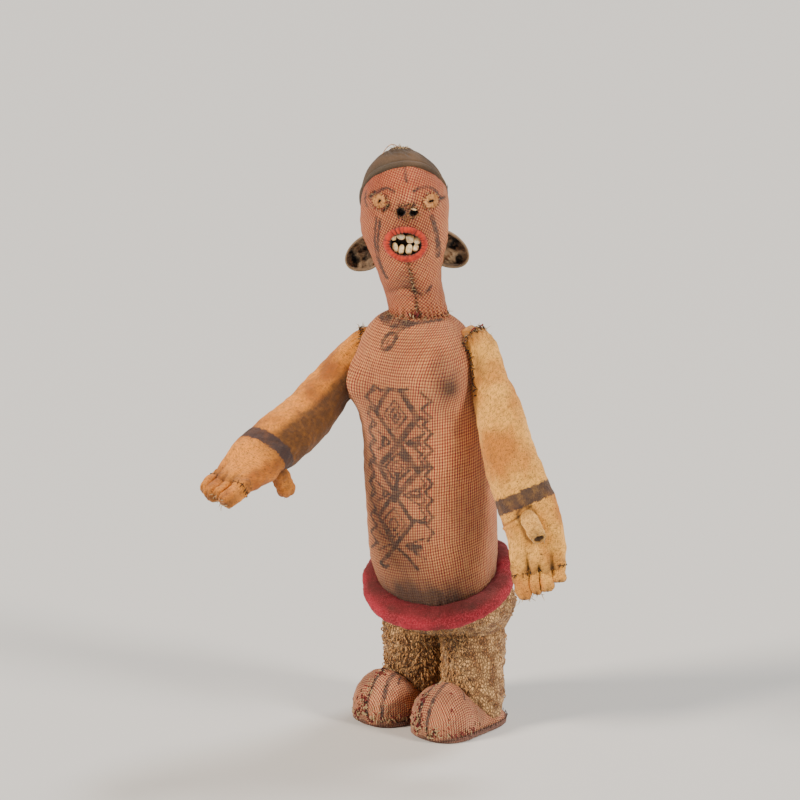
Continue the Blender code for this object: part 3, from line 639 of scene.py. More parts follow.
# Painted shade: each nostril hole, and the head under each patch's pupil hole, coloured near black.
for way in (-1, 1):
    at_nostril = np.hypot(side - NOSE_ACROSS - way * NOSTRIL_APART / 2, height - NOSTRIL_Z)
    at_nostril = at_nostril / (1 + 0.16 * ripples(head, 0.004, 5 + way))
    push += 0.0014 * bell(at_nostril - 0.0050, 0.0015)
    push -= 0.0055 * step(at_nostril, NOSTRIL_RADIUS * 1.15, NOSTRIL_RADIUS * 0.75)
    dirt_and_shade = np.maximum(dirt_and_shade, step(at_nostril, NOSTRIL_RADIUS * 1.3, NOSTRIL_RADIUS))
    at_eye = np.hypot(side - EYE_ACROSS - way * EYE_APART / 2, height - EYE_Z)
    push -= 0.0010 * bell(at_eye, 0.012) + 0.0030 * step(at_eye, 0.0050, 0.0030)
    dirt_and_shade = np.maximum(dirt_and_shade, step(at_eye, 0.0054, 0.0042))
SLITS = (  # gaps torn open beside the patches: across, height, lean; mm and degrees
    (-27.6, 520.2, 45),
    (-15.6, 509.4, 40),
    (32.8, 515.6, 78),
)
HALF_SLIT = 3.4  # mm
# Each slit is pushed in and coloured near black: painted shade in the gap.
for slit_across, slit_z, lean in SLITS:
    along_x, along_z = HALF_SLIT * math.sin(math.radians(lean)), HALF_SLIT * math.cos(math.radians(lean))
    ends = [(slit_across + way * along_x, slit_z + way * along_z) for way in (-1, 1)]
    slit = near_line(side, height, ends, 0.0016)
    push -= 0.0022 * slit
    dirt_and_shade = np.maximum(dirt_and_shade, 0.98 * slit)
CHIN_SEAM = [(1.8, 461), (2.8, 448), (2.2, 436), (2.2, 425), (-0.2, 411)]
NECK_CREASE = [(-20, 431), (-13, 434), (-4, 435), (3, 432.5), (7, 428.5)]
seam = near_line(side, height, CHIN_SEAM, 0.0017)
beside_seam = near_line(side, height, CHIN_SEAM, 0.0065)
crease = near_line(side, height, NECK_CREASE, 0.0020)
push -= 0.0013 * seam + 0.0020 * crease
push += 0.0008 * beside_seam * np.sin(height / 0.0046 * math.tau + side * 300)
push += 0.0014 * near_line(side, height + 0.0052, NECK_CREASE, 0.0042)
# Darker on the chin seam and beside it; painted shade in the neck crease, under the chin just above it, and
# in a patch beside the seam.
dirt_and_shade += 0.27 * seam + 0.14 * beside_seam + 0.30 * crease
dirt_and_shade += 0.20 * near_line(side, height - 0.0045, NECK_CREASE, 0.0060)
dirt_and_shade += 0.30 * bell(np.hypot((side + 0.002) / 0.009, (height - 0.443) / 0.008), 1)
neck_gather = bell(height - 0.409, 0.009)
swell = 0.0008 * ripples(head, 0.05, 8) + 0.00025 * ripples(head, 0.011, 9)
swell += neck_gather * 0.0008 * np.sin(np.arctan2(across, ahead) * 30 + 2 * ripples(head, 0.03, 10))
normal = outwards(head)
head = head + (push * front)[..., None] * facing + swell[..., None] * normal
dirt_and_shade = np.clip(dirt_and_shade * front + 0.25 * bell(height - 0.405, 0.006), 0, 1)
u, v = uv[..., 0], uv[..., 1]
half_round = abs(u[:, -1:] - u[:, :1]) / 2
to_back = np.sign(u) * step(abs(u) / half_round, 0.28, 0.96)
u = u - to_back * (half_round - half_round[rows // 2])  # at the back every row is as long as the middle one
askew = np.interp(v, (-0.08, -0.04, 0.0, 0.05), (44, 36, 30, 22))
askew = np.radians(30 + (askew - 30) * bell(u, 0.060))  # cut evenly at the back
uv = np.stack([u * np.cos(askew) - v * np.sin(askew), u * np.sin(askew) + v * np.cos(askew)], axis=-1)
FACE_PAINT = [  # half width in mm, then points as mm across the face and mm of height
    (1.3, [(-24, 522), (-19, 526), (-13, 527), (-8, 524.5)]),
    (1.2, [(10, 524.5), (15, 527), (21, 527.5), (27, 525.5), (31, 521.5), (33.5, 517)]),
    (1.4, [(3.2, 549), (3.6, 541), (4.2, 533)]),
    (2.3, [(25.6, 501), (27.9, 493), (29.8, 483), (30.0, 472), (29.2, 464)]),
    (1.4, [(-21.5, 499), (-23.6, 487), (-24.8, 475), (-24.8, 462), (-22.5, 450), (-20.5, 444)]),
    (1.2, [(-24.6, 500), (-26.8, 488), (-27.6, 476), (-26.8, 464), (-24.2, 453)]),
    (0.8, [(-33, 522), (-35, 515), (-33.5, 509)]),
    (1.2, [(12.5, 431), (19, 437)]),
]
stroke = np.where(front > 0.5, from_strokes(side, height, FACE_PAINT), NO_STROKE)
blush = 0.42 * step(height, 0.512, 0.532) + 0.10 * step(height, 0.462, 0.440)
blush += 0.25 * step(side, -0.004, -0.030)
blush += 0.20 * bell(np.hypot((side - 0.024) / 0.010, (height - 0.503) / 0.008), 1)
# The same cotton with a finer, squarer check, reddened on brow and cheeks.
face_check = checked_cotton(
    "loomed_check_cotton_of_the_face", "#ffc57c", "#d8421e", "#4a0a1a", FACE_PITCH, row_depth=0.84
)
marks = {"stroke": stroke, "dirt_and_shade": dirt_and_shade, "blush": blush}
head_bag = surface("head_bag", head, face_check, uv, marks)
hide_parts("head")

# ---------------------------------------------------------------- lips and teeth
# A padded ring of orange-red cotton, puckered where it is gathered round the mouth, and eight
# rounded pieces of polished shell set loosely behind it, each of its own size and lean.

LIP_RADIUS, LIP_HALF_WIDTH, LIP_HALF_HEIGHT = 0.0029, 0.0172, 0.0134
LIP_GRID = (220, 36)

# Soft red cotton: matt and browner where it is worn, with painted shade in the folds between the puckers.
lip_cotton = new_material("puckered_red_cotton", 0.78, sheen_weight=0.15)
lip_red = mottled(lip_cotton, colour("#c43410"), "#921f0a", 5, levels=(0.35, 0.7))
lip_red = tinted_by_mark(lip_cotton, lip_red, "#48140e")
finish(lip_cotton, lip_red, spots(lip_cotton, 0.7, 2.0), 0.0003)

rows, cols = LIP_GRID
angle, roll = round_turn(rows)[:, None], round_turn(cols)[None]
circle = np.stack([np.sin(angle), np.cos(angle), 0 * angle], axis=-1)
pucker = np.sin(angle * 29 + 1.6 * ripples(circle, 1.4, 11)) * (0.7 + 0.3 * ripples(circle, 0.7, 12))
fat = LIP_RADIUS * (1 + 0.06 * ripples(circle, 0.9, 13))
fat = fat + 0.0005 * pucker * step(np.sin(roll - 0.6), -0.4, 0.6)
side = MOUTH_ACROSS + np.sin(angle) * (LIP_HALF_WIDTH + fat * np.cos(roll))
height = MOUTH_Z + np.cos(angle) * (LIP_HALF_HEIGHT + fat * np.cos(roll))
lips = face_point(side, height, 0.0015 + fat * np.sin(roll))
# Painted shade: dark in the folds between the puckers and on the ring's inner side towards the mouth.
dirt_and_shade = np.clip(0.95 * step(-pucker, 0.50, 0.95) + 0.6 * step(np.cos(roll), -0.5, -1.0), 0, 1)
lip_ring = surface("lip_ring", lips, lip_cotton, marks={"dirt_and_shade": dirt_and_shade}, tyre=True)
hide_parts("lips")

TEETH = (  # node; in mm: across and up from the mouth's middle, half width, half height; lean in degrees
    ("tooth_upper_1", -10.6, 5.6, 2.3, 2.8, 14),
    ("tooth_upper_2", -4.2, 6.8, 3.9, 3.0, 20),
    ("tooth_upper_3", 4.0, 5.0, 3.6, 4.2, -6),
    ("tooth_upper_4", 10.4, 3.2, 3.0, 3.6, -12),
    ("tooth_lower_1", -9.4, -3.4, 2.6, 4.7, -14),
    ("tooth_lower_2", -3.9, -5.2, 2.4, 4.8, 10),
    ("tooth_lower_3", 3.0, -5.2, 3.2, 4.7, 8),
    ("tooth_lower_4", 9.2, -3.6, 2.6, 3.6, 18),
)
TOOTH_HALF_DEPTH, TOOTH_SUNK = 0.0021, 0.0030
TOOTH_FULLNESS = (0.86, 0.86, 1.0)  # across, up and through: 1 is a ball's roundness, less is squarer
# Polished shell: ivory going brown at the edges, with a soft gloss and a little light sinking in.
shell = new_material("polished_shell", 0.28, subsurface_weight=0.15, subsurface_scale=0.002)
ivory = mottled(shell, colour("#fae6bc"), "#d4ac70", 3, levels=(0.35, 0.65))
ivory = tinted_by_mark(shell, ivory, "#7a5226")
finish(shell, ivory, spots(shell, 1.5), 0.00015)

polar, angle = np.linspace(0.02, math.pi - 0.02, 26)[:, None], round_turn(32)[None]
ball = [np.sin(polar) * np.sin(angle), np.cos(polar) + 0 * angle, np.sin(polar) * np.cos(angle)]
ball = softened(np.stack(ball, axis=-1), TOOTH_FULLNESS)
for number, (node, place, up, half_width, half_height, lean) in enumerate(TEETH):
    unit = ball * (1 + 0.05 * ripples(ball, 1.6, 40 + number))[..., None]
    a, b, c = (unit * (half_width * MM, half_height * MM, TOOTH_HALF_DEPTH)).transpose(2, 0, 1)
    lean = math.radians(lean)
    side = place * MM + a * math.cos(lean) + b * math.sin(lean)
    height = MOUTH_Z + up * MM - a * math.sin(lean) + b * math.cos(lean)
    middle = face_point(MOUTH_ACROSS + place * MM / 2, MOUTH_Z + up * MM / 2)
    dx, dy = turned(side - place * MM / 2, c - TOOTH_SUNK, HEAD_TURN)
    tooth = np.stack([middle[0] + dx, middle[1] + dy, height], axis=-1)
    from_middle = np.sign(up) * (height - MOUTH_Z) / MM
    dirt_and_shade = 0.9 * step(from_middle, abs(up) + half_height * 0.2, abs(up) + half_height)
    tooth_shell = surface(node + "_shell", tooth, shell, marks={"dirt_and_shade": dirt_and_shade})
    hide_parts(node)

# ---------------------------------------------------------------- thread at neck, lips, chin and back
# Hand stitches in dark brown, maroon and undyed cotton thread: a whipped seam round the neck, with
# coarse red and pale ones at the front, small ones that hold the lips' outer edge, and the seams
# that close the head's cloth from the chin to the neck and both bags down the back.


def cotton_thread(name, light, dark):
    """Twisted cotton thread: matt, mottled from a light to a dark tint, with a faint lumpy twist."""
    material = new_material(name, 0.9)
    finish(material, mottled(material, colour(light), dark, 1.5), spots(material, 0.4, 1.0), 0.0002)
    return material


brown_thread = cotton_thread("dark_brown_cotton_thread", "#3c2c1e", "#1c130c")
maroon_thread = cotton_thread("maroon_cotton_thread", "#84252a", "#4e1216")
undyed_thread = cotton_thread("undyed_cotton_thread", "#cbb48c", "#8f6f45")


def threads(name, paths, radius, material, sides=5, thin=0.5):
    """Many short threads in one mesh: each row of points is a tube that thins to its two closed ends."""
    paths = np.asarray(paths, float)
    count, steps = paths.shape[:2]
    along = unit_of(np.gradient(paths, axis=1))
    least = np.argmin(abs(along.mean(1)), axis=1)
    side = unit_of(np.cross(along, np.eye(3)[least][:, None]))
    other = np.cross(along, side)
    angle = round_turn(sides)[:, None]
    share = thin + (1 - thin) * np.sqrt(np.sin(np.linspace(0, math.pi, steps)))
    wide = (np.broadcast_to(radius, (count,))[:, None] * share)[..., None, None]
    ring = np.cos(angle) * side[:, :, None] + np.sin(angle) * other[:, :, None]
    ring = paths[:, :, None] + wide * ring
    index = np.arange(count * steps * sides).reshape(count, steps, sides)
    following = np.roll(index, -1, axis=2)
    walls = np.stack([index[:, :-1], following[:, :-1], following[:, 1:], index[:, 1:]], axis=-1)
    caps = np.concatenate([index[:, 0, ::-1], index[:, -1]])
    counts = [np.full(walls.size // 4, 4), np.full(len(caps), sides)]
    return mesh_object(name, [ring.reshape(-1, 3)], [walls.ravel(), caps.ravel()], counts, material)


def stitches(name, places, out, way, length, lift, radius, material, seed, loose=0.25):
    """Short stitches laid over places along a way, lifted in the middle, each a little askew."""
    random = np.random.default_rng(seed)
    count = len(places)
    out = np.broadcast_to(out, places.shape)
    length = length * random.uniform(1 - loose, 1 + loose, (count, 1, 1))
    sideways = np.cross(way, out) * random.normal(0, loose, (count, 1))
    way = unit_of(way + sideways)[:, None]
    t = np.linspace(-1, 1, 5)[None, :, None]
    lift = lift * random.uniform(0.7, 1.3, (count, 1, 1))
    paths = places[:, None] + way * t * length / 2 + out[:, None] * ((1 - t**2) * lift - 0.0003)
    return threads(name, paths, radius * random.uniform(0.8, 1.2, count), material)


def loose_ends(name, places, out, length, radius, material, seed, curl=0.8):
    """Frayed ends of thread that leave their places outwards and curl as they go."""
    random = np.random.default_rng(seed)
    count = len(places)
    way = unit_of(out + 0.7 * random.normal(size=(count, 3)))
    turn = random.normal(0, curl, (count, 3))
    t = np.linspace(0, 1, 6)[None, :, None]
    size = length * random.uniform(0.5, 1.4, (count, 1, 1))
    paths = places[:, None] + size * (way[:, None] * t + turn[:, None] * t**2 * 0.5)
    return threads(name, paths, radius, material, thin=0.3)


def head_ring(z, angle, out):
    """Points round the head, stood off it by out, at a height and angles from its front; ways outwards."""
    x, y, wide, deep = head_section(z)
    dx, dy = turned((wide + out) * np.sin(angle), (deep + out) * np.cos(angle), HEAD_TURN)
    ox, oy = turned(np.sin(angle), np.cos(angle), HEAD_TURN)
    return np.stack([x + dx, y + dy, z + 0 * dx], -1), np.stack([ox, oy, 0 * ox], -1)


def face_ring(across, z, half_width, half_height, angle, out, ahead=0.0):
    """Points round an oval on the face, stood off it by out, and the ways outwards and partly ahead."""
    rim = face_point(across + np.sin(angle) * half_width, z + np.cos(angle) * half_height, out)
    return rim, np.stack([*turned(np.sin(angle), ahead, HEAD_TURN), np.cos(angle)], axis=-1)


UPWARDS = np.array([0.0, 0.0, 1.0])
WHIPS = 44  # stitches round the neck, and round the lips

random = np.random.default_rng(21)
angle = round_turn(WHIPS) + random.normal(0, 0.06, WHIPS)
places, out = head_ring(0.4078 + random.normal(0, 0.0008, WHIPS), angle, 0.0006)
askew = UPWARDS + 0.5 * np.cross(UPWARDS, out)
stitches("neck_whipping", places, out, askew, 0.0046, 0.0009, 0.00034, brown_thread, 22, loose=0.5)
angle = np.array([-0.30, -0.22, -0.13, -0.05, 0.01, 0.06, 0.14])
places, out = head_ring(0.4105 + random.normal(0, 0.0012, 7), angle, 0.0012)
pale_places = places[1:3] + 0.001 * out[1:3]
stitches("neck_darning_red", places[:5], out[:5], UPWARDS, 0.0055, 0.0012, 0.0007, maroon_thread, 23)
stitches("neck_darning_pale", pale_places, out[1:3], UPWARDS, 0.0042, 0.0012, 0.0006, undyed_thread, 24)
stitches("neck_darning_dark", places[3:], out[3:], UPWARDS, 0.0060, 0.0014, 0.0005, brown_thread, 25, 0.6)
places, out = head_ring(0.407 + random.normal(0, 0.0015, 60), random.uniform(-2.2, 2.2, 60), 0.0010)
loose_ends("neck_frayed_ends", places, out, 0.0045, 0.00022, undyed_thread, 26)

angle = round_turn(WHIPS) + random.normal(0, 0.03, WHIPS)
half_width, half_height = LIP_HALF_WIDTH + LIP_RADIUS, LIP_HALF_HEIGHT + LIP_RADIUS
rim, outward = face_ring(MOUTH_ACROSS, MOUTH_Z, half_width, half_height, angle, 0.0007)
stitches("lip_stitches", rim, facing, outward, 0.0026, 0.0006, 0.00026, maroon_thread, 27)

seam_z = np.linspace(0.413, 0.459, 27)
seam_side = np.interp(seam_z, *np.array(CHIN_SEAM[::-1]).T[::-1] * MM)
leftward = np.array([*turned(1, 0, HEAD_TURN), 0])
places = face_point(seam_side, seam_z, 0.0002) + leftward * random.normal(0, 0.0006, (27, 1))
for kind, picked, length, radius, thread, seed, loose in (
    ("pale", places[::2], 0.0026, 0.00032, undyed_thread, 28, 0.9),
    ("dark", places[:13], 0.0030, 0.00036, brown_thread, 29, 0.8),
):
    name = "chin_seam_stitches_" + kind
    stitches(name, picked, facing, leftward, length, 0.0009, radius, thread, seed, loose)

for name, bag, bag_normal, start, end, count, number in (
    ("torso", torso, torso_normal, 8, -8, 58, 30),
    ("head", head, outwards(head), 22, -70, 26, 32),
):
    at = np.linspace(start, len(bag) + end, count).astype(int)
    places, out = bag[at, 0], bag_normal[at, 0]
    along = bag[at + 1, 0] - bag[at - 1, 0]
    way = unit_of(np.cross(out, along) + 0.6 * along)
    stitches(f"back_seam_{name}", places, out, way, 0.0048, 0.0011, 0.00034, brown_thread, number, 0.35)

# ---------------------------------------------------------------- eyes
# Two ragged round patches of tan cotton, each with a hole for the pupil. They are held by maroon
# overcast stitches, and the cut edge of the patch has frayed into fine pale ends.

EYE_RADIUS, EYE_THICKNESS = 0.0070, 0.0014
EYE_GRID = (30, 96)
PUPILS = {"right": (0.0006, 0.6), "left": (0.0008, 1.5)}  # half width of the hole, and its lean
SLUB_ACROSS, SLUB_ALONG = 0.9 * MM, 4.2 * MM  # coarser than the real threads, so that the weave shows


def tan_cotton(name, light, brown):
    """Undyed plain-weave cotton, rubbed and dirty: slubs both ways, brown patches and small dark specks."""
    material = new_material(name, 0.92, sheen_weight=0.1)
    uv = add(material, "UVMap", uv_map="cloth")
    slubs = []
    for stretch in ((1 / SLUB_ACROSS, 1 / SLUB_ALONG, 1), (1 / SLUB_ALONG, 1 / SLUB_ACROSS, 1)):
        laid = add(material, "VectorMath", (uv, stretch), operation="MULTIPLY")
        slubs.append(add(material, "TexNoise", {"Vector": laid, "Scale": 1.0, "Detail": 2.0}))
    weave = add(material, "Math", slubs, operation="ADD")
    ground = mottled(material, colour(light), brown, 34, 6.0, (0.38, 0.68), 0.9)
    ground = mottled(material, ground, "#a06a34", 4, 4.0, (0.45, 0.72), 0.4)
    rubbed = add(material, "MapRange", (weave, 0.88, 1.28, 0.0, 0.66), interpolation_type="SMOOTHSTEP")
    inputs = {FACTOR: rubbed, UNDER: ground, OVER: colour("#7c4e1c")}
    ground = add(material, "Mix", inputs, MIXED, data_type="RGBA")
    ground = mottled(material, ground, "#432a14", 1.8, 2.0, (0.65, 0.72), 0.8)
    ground = tinted_by_mark(material, ground, "#3a2410")
    finish(material, dyed(material, ground, "#33272a", "MIX", 0.93, 0.84), weave, 0.0009)
    return material


# Undyed cotton: matt and dusty, its coarse weave seen as darker slubs, pinker here than on the arms.
eye_cotton = tan_cotton("undyed_cotton_of_the_eyes", "#eca868", "#ac6c34")

for way, side_name in ((-1, "right"), (1, "left")):
    rows, cols = EYE_GRID
    eye_across = EYE_ACROSS + way * EYE_APART / 2
    angle = round_turn(cols)[None]
    circle = np.stack([np.sin(angle), np.cos(angle), 0 * angle], axis=-1)
    ragged = 1 + 0.07 * ripples(circle, 0.9, 60 + way) + 0.05 * ripples(circle, 0.25, 62 + way)
    ragged = EYE_RADIUS * ragged
    pupil, lean = PUPILS[side_name]
    hole = pupil * (1 + 0.2 * ripples(circle, 0.9, 64 + way) + 1.6 * abs(np.cos(angle - lean)) ** 3)
    section = round_turn(rows)[:, None]
    share, up = (0.5 + 0.5 * softened(wave(section), 0.6) for wave in (np.cos, np.sin))
    radius = hole + (ragged - hole) * share
    side, height = eye_across + radius * np.sin(angle), EYE_Z + radius * np.cos(angle)
    lumps = 0.0005 * ripples(np.stack([side, height, 0 * side], -1), 0.0040, 66 + way)
    patch = face_point(side, height, -0.0008 + up * (EYE_THICKNESS + 0.0010 + lumps))
    uv = np.stack([side, height], -1)
    uv = np.concatenate([uv, uv[:1]])
    uv = np.concatenate([uv, uv[:, :1]], axis=1)
    # Darker at the hole's edge and round the patch's rim, with painted shade in the low places between the
    # lumps.
    dirt_and_shade = 0.6 * bell(radius - hole, 0.0012) + 0.35 * bell(radius - ragged, 0.0008)
    dirt_and_shade = dirt_and_shade + 0.4 * step(lumps, -0.0001, -0.0009)
    marks = {"dirt_and_shade": dirt_and_shade, "stroke": NO_STROKE + 0 * dirt_and_shade}
    eye = surface("eye_patch_" + side_name, patch, eye_cotton, uv, marks, tyre=True)
    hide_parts("eye_" + side_name)
    angle = round_turn(17) + random.normal(0, 0.08, 17)
    rim, outward = face_ring(eye_across, EYE_Z, EYE_RADIUS, EYE_RADIUS, angle, 0.0012)
    name = "eye_stitches_" + side_name
    stitches(name, rim, facing, outward, 0.0036, 0.0009, 0.00036, maroon_thread, 70 + way, loose=0.4)
    angle = random.uniform(0, math.tau, 40)
    fray_radius = EYE_RADIUS - 0.0002
    rim, outward = face_ring(eye_across, EYE_Z, fray_radius, fray_radius, angle, 0.0012, 0.6)
    loose_ends("eye_fray_" + side_name, rim, outward, 0.0022, 0.00016, undyed_thread, 72 + way)

# ---------------------------------------------------------------- nose
# The nose is pushed out of the face's own cloth. Frayed ends stand round its two holes and on its tip,
# where a small chip of ivory sits among them.

RIM_HALF_WIDTH, RIM_HALF_HEIGHT = 0.0043, 0.0040  # of the frayed edge round each hole

for way, side_name in ((-1, "right"), (1, "left")):
    angle = random.uniform(0, math.tau, 46)
    hole_across = NOSE_ACROSS + way * NOSTRIL_APART / 2
    rim, outward = face_ring(hole_across, NOSTRIL_Z, RIM_HALF_WIDTH, RIM_HALF_HEIGHT, angle, 0.0036, 0.9)
    loose_ends("nostril_fray_" + side_name, rim, outward, 0.0022, 0.00026, eye_cotton, 76 + way)
    rim, outward = rim[::2], outward[::2]
    loose_ends("nostril_rim_" + side_name, rim, outward, 0.0026, 0.00030, brown_thread, 78 + way)
tip_across = NOSE_ACROSS + random.normal(0.0010, 0.0036, 44)
nose_top = face_point(tip_across, 0.5118 + random.normal(0, 0.0016, 44), 0.0050)
away = facing + UPWARDS / 2
loose_ends("nose_fray_tan", nose_top[:14], away, 0.0026, 0.00032, eye_cotton, 84)
loose_ends("nose_fray_dark", nose_top[14:], away, 0.0030, 0.00036, brown_thread, 85)
chip = face_point(np.array([0.0068, 0.0093, 0.0118]), np.array([0.5102, 0.5094, 0.5084]), 0.0050)
threads("ivory_chip", chip[None], 0.0013, shell, sides=8, thin=0.4)

# ---------------------------------------------------------------- cap
# The hair: a tight smooth cap of grey-brown cloth over crown and nape, hemmed along the brow, with
# a few knots and a loop of thread left at the crown.

CAP_OUT, CAP_SIDE_Z, CAP_TILT = 0.0020, 0.5220, 0.17
CAP_RISE = (0.76, 1.08)  # how much further up the edge runs at the front, and further down at the back
CAP_GRID = (84, 200)
CROWN_SECTION = (0.5582, -0.0215, -0.0435, 0.0030, 0.0034)  # as the head's, close over its top
CAP_TOP = 0.5597
HEM, HEM_SEAM = 0.0035, 0.0072  # in from the edge: the middle of the turned hem, and its seam

# Close smooth cotton, waxed by handling: grey-brown with paler streaks and a low dull shine.
cap_cotton = new_material("smooth_waxed_cotton", 0.74, sheen_weight=0.1)
taupe = mottled(cap_cotton, colour("#563a1a"), "#382612", 30, 4.0, (0.35, 0.65))
taupe = tinted_by_mark(cap_cotton, taupe, "#3c3020")
taupe = mottled(cap_cotton, taupe, "#6c5236", 1.4, 2.0, (0.5, 0.8), 0.35)
finish(cap_cotton, taupe, spots(cap_cotton, 0.8), 0.0003)

table = np.array((*HEAD_SECTIONS, CROWN_SECTION))
last = len(table) - 1
rows, cols = CAP_GRID
across, ahead = oval(cols, HEAD_SQUARENESS)
low, high = np.full(cols, 2.0), np.full(cols, float(last))
for _ in range(30):  # the edge's place between the sections, found by halving
    middle = (low + high) / 2
    z, x, y, wide, deep = (through(column, middle) for column in table.T)
    rise = np.where(ahead > 0, *CAP_RISE)
    above = z > CAP_SIDE_Z + rise * deep * ahead + CAP_TILT * wide * across
    low, high = np.where(above, low, middle), np.where(above, middle, high)
share = np.linspace(0, 1, rows)[:, None]
z, x, y, wide, deep = (through(column, last + share * (low - last)) for column in table.T)
dx, dy = turned(wide * across, deep * ahead, HEAD_TURN)
cap = np.stack([x + dx, y + dy, z + 0 * dx], axis=-1)
normal = outwards(cap)
to_edge = np.linalg.norm(cap - cap[-1:], axis=-1)
hem = 0.0007 * bell(to_edge - HEM, 0.0025) - 0.0007 * bell(to_edge - HEM_SEAM, 0.0011)
thick = CAP_OUT * np.sqrt(np.clip(to_edge / 0.0014, 0, 1)) + hem - 0.0006 * bell(to_edge, 0.0008)
from_crown = np.linalg.norm(cap - cap.mean(1)[0], axis=-1)
pleats = np.sin(np.arctan2(across, ahead) * 11 + 1.5 * ripples(cap, 0.03, 86))
reach = np.where(ahead > 0, 0.016, 0.034)
thick += 0.00050 * pleats * step(from_crown, 0.001, 0.006) * np.exp(-from_crown / reach)
thick += 0.00035 * ripples(cap, 0.02, 80)
thick += 0.0004 * bell(cap[..., 2] - 0.556, 0.004) * ripples(cap, 0.005, 81)
cap = cap + thick[..., None] * normal
cap[0, :, 2] = CAP_TOP
leftness = (wide * across + 0 * share) / 0.04
dirt_and_shade = 0.55 * bell(to_edge - 0.004, 0.009) * step(-leftness, -0.2, 0.5)
dirt_and_shade += 0.35 * bell(to_edge - HEM_SEAM, 0.001) + 0.45 * step(to_edge, 0.0075, 0.0)
marks = {"dirt_and_shade": np.clip(dirt_and_shade, 0, 1)}
cap_cover = surface("cap_cover", cap, cap_cotton, marks=marks, ends=(True, False))
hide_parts("cap")

at = (ahead < -0.15).nonzero()[0][::6]
places, out = cap[-5, at] + 0.0002 * normal[-5, at], normal[-5, at]
way = unit_of(cap[-8, at] - cap[-1, at] + 0.4 * (cap[-1, (at + 3) % cols] - cap[-1, at]))
stitches("cap_whipping", places, out, way, 0.0052, 0.0004, 0.00034, brown_thread, 87, loose=0.4)
places = np.random.default_rng(82).normal(0, 1, (26, 3)) * (0.0040, 0.0030, 0.0003)
places = places + (-0.0190, -0.0480, 0.5592)
loose_ends("crown_knots", places, UPWARDS, 0.0028, 0.00030, undyed_thread, 83, curl=1.4)
t = np.linspace(0, 1, 14)[:, None]
loop_z = 0.5490 + 0.0095 * np.sin(t * math.pi) ** 0.8 + 0.0082 * t
loop_x, loop_y = turned(-0.0200 + 0.0185 * t, 0.004 + 0 * t, HEAD_TURN)
loop = np.concatenate([-0.0205 + loop_x, -0.0435 + loop_y, loop_z], axis=1)
threads("crown_thread_loop", loop[None], 0.00040, eye_cotton)

# ---------------------------------------------------------------- ears
# Two cups of dark brown cloth with crumpled bottoms and a pale cord-like rim. Each is sewn on by one
# side, open to the front, with a few coarse stitches showing inside it.

EAR_Z = {"left": 0.4690, "right": 0.4655}
EAR_REACH, EAR_HALF_HEIGHT, EAR_DEPTH, EAR_WALL = 0.0235, 0.0170, 0.0125, 0.0022
EAR_BACK, EAR_DROOP = 0.0060, 0.35
EAR_GRID = (70, 110)
RIM_RADIUS = 0.00085
EAR_PROFILE = (  # drawn in, and ahead of the cup's floor: from its back's middle over the rim to the inside
    (0.0130, 0.0000),
    (0.0045, 0.0000),
    (0.0010, 0.0015),
    (0.0000, 0.0060),
    (0.0000, EAR_DEPTH),
    (EAR_WALL / 2, EAR_DEPTH + 0.0006),
    (EAR_WALL, EAR_DEPTH),
    (EAR_WALL + 0.0004, 0.0070),
    (EAR_WALL + 0.0016, 0.0050),
    (EAR_WALL + 0.0045, 0.0048),
    (0.0135, 0.0052),
)

# Dark crumpled cotton: matt grey-brown, with painted shade making it almost black down in its folds.
ear_cotton = new_material("dark_crumpled_cotton", 0.85, sheen_weight=0.1)
umber = mottled(ear_cotton, colour("#94785a"), "#523e2c", 9, 4.0, (0.35, 0.7))
umber = tinted_by_mark(ear_cotton, umber, "#140d08")
finish(ear_cotton, umber, spots(ear_cotton, 0.9), 0.0005)
# The same cotton rubbed along the rim: paler, with a slight shine.
rim_cotton = new_material("rubbed_grey_brown_cotton", 0.8, sheen_weight=0.1)
rubbed = mottled(rim_cotton, colour("#90795c"), "#4c3826", 3)
finish(rim_cotton, rubbed, spots(rim_cotton, 0.6, 2.0), 0.0004)


def ear_outline(side_name, inset, ahead, cols):
    """The D-shaped outline of an ear cup, drawn in by inset and moved ahead of the cup's floor."""
    angle = round_turn(cols)
    way = 1 if side_name == "left" else -1
    head_x, head_y, wide, _ = head_section(EAR_Z[side_name])
    out = (EAR_REACH - inset) * np.where(np.cos(angle) > 0, np.cos(angle), 0.55 * np.cos(angle))
    up = (EAR_HALF_HEIGHT - inset) * np.sin(angle)
    dx, dy = turned(way * (wide - 0.002 + out), ahead - EAR_BACK - 0.25 * out, HEAD_TURN)
    return np.stack([head_x + dx, head_y + dy, EAR_Z[side_name] + up - EAR_DROOP * out], axis=-1)


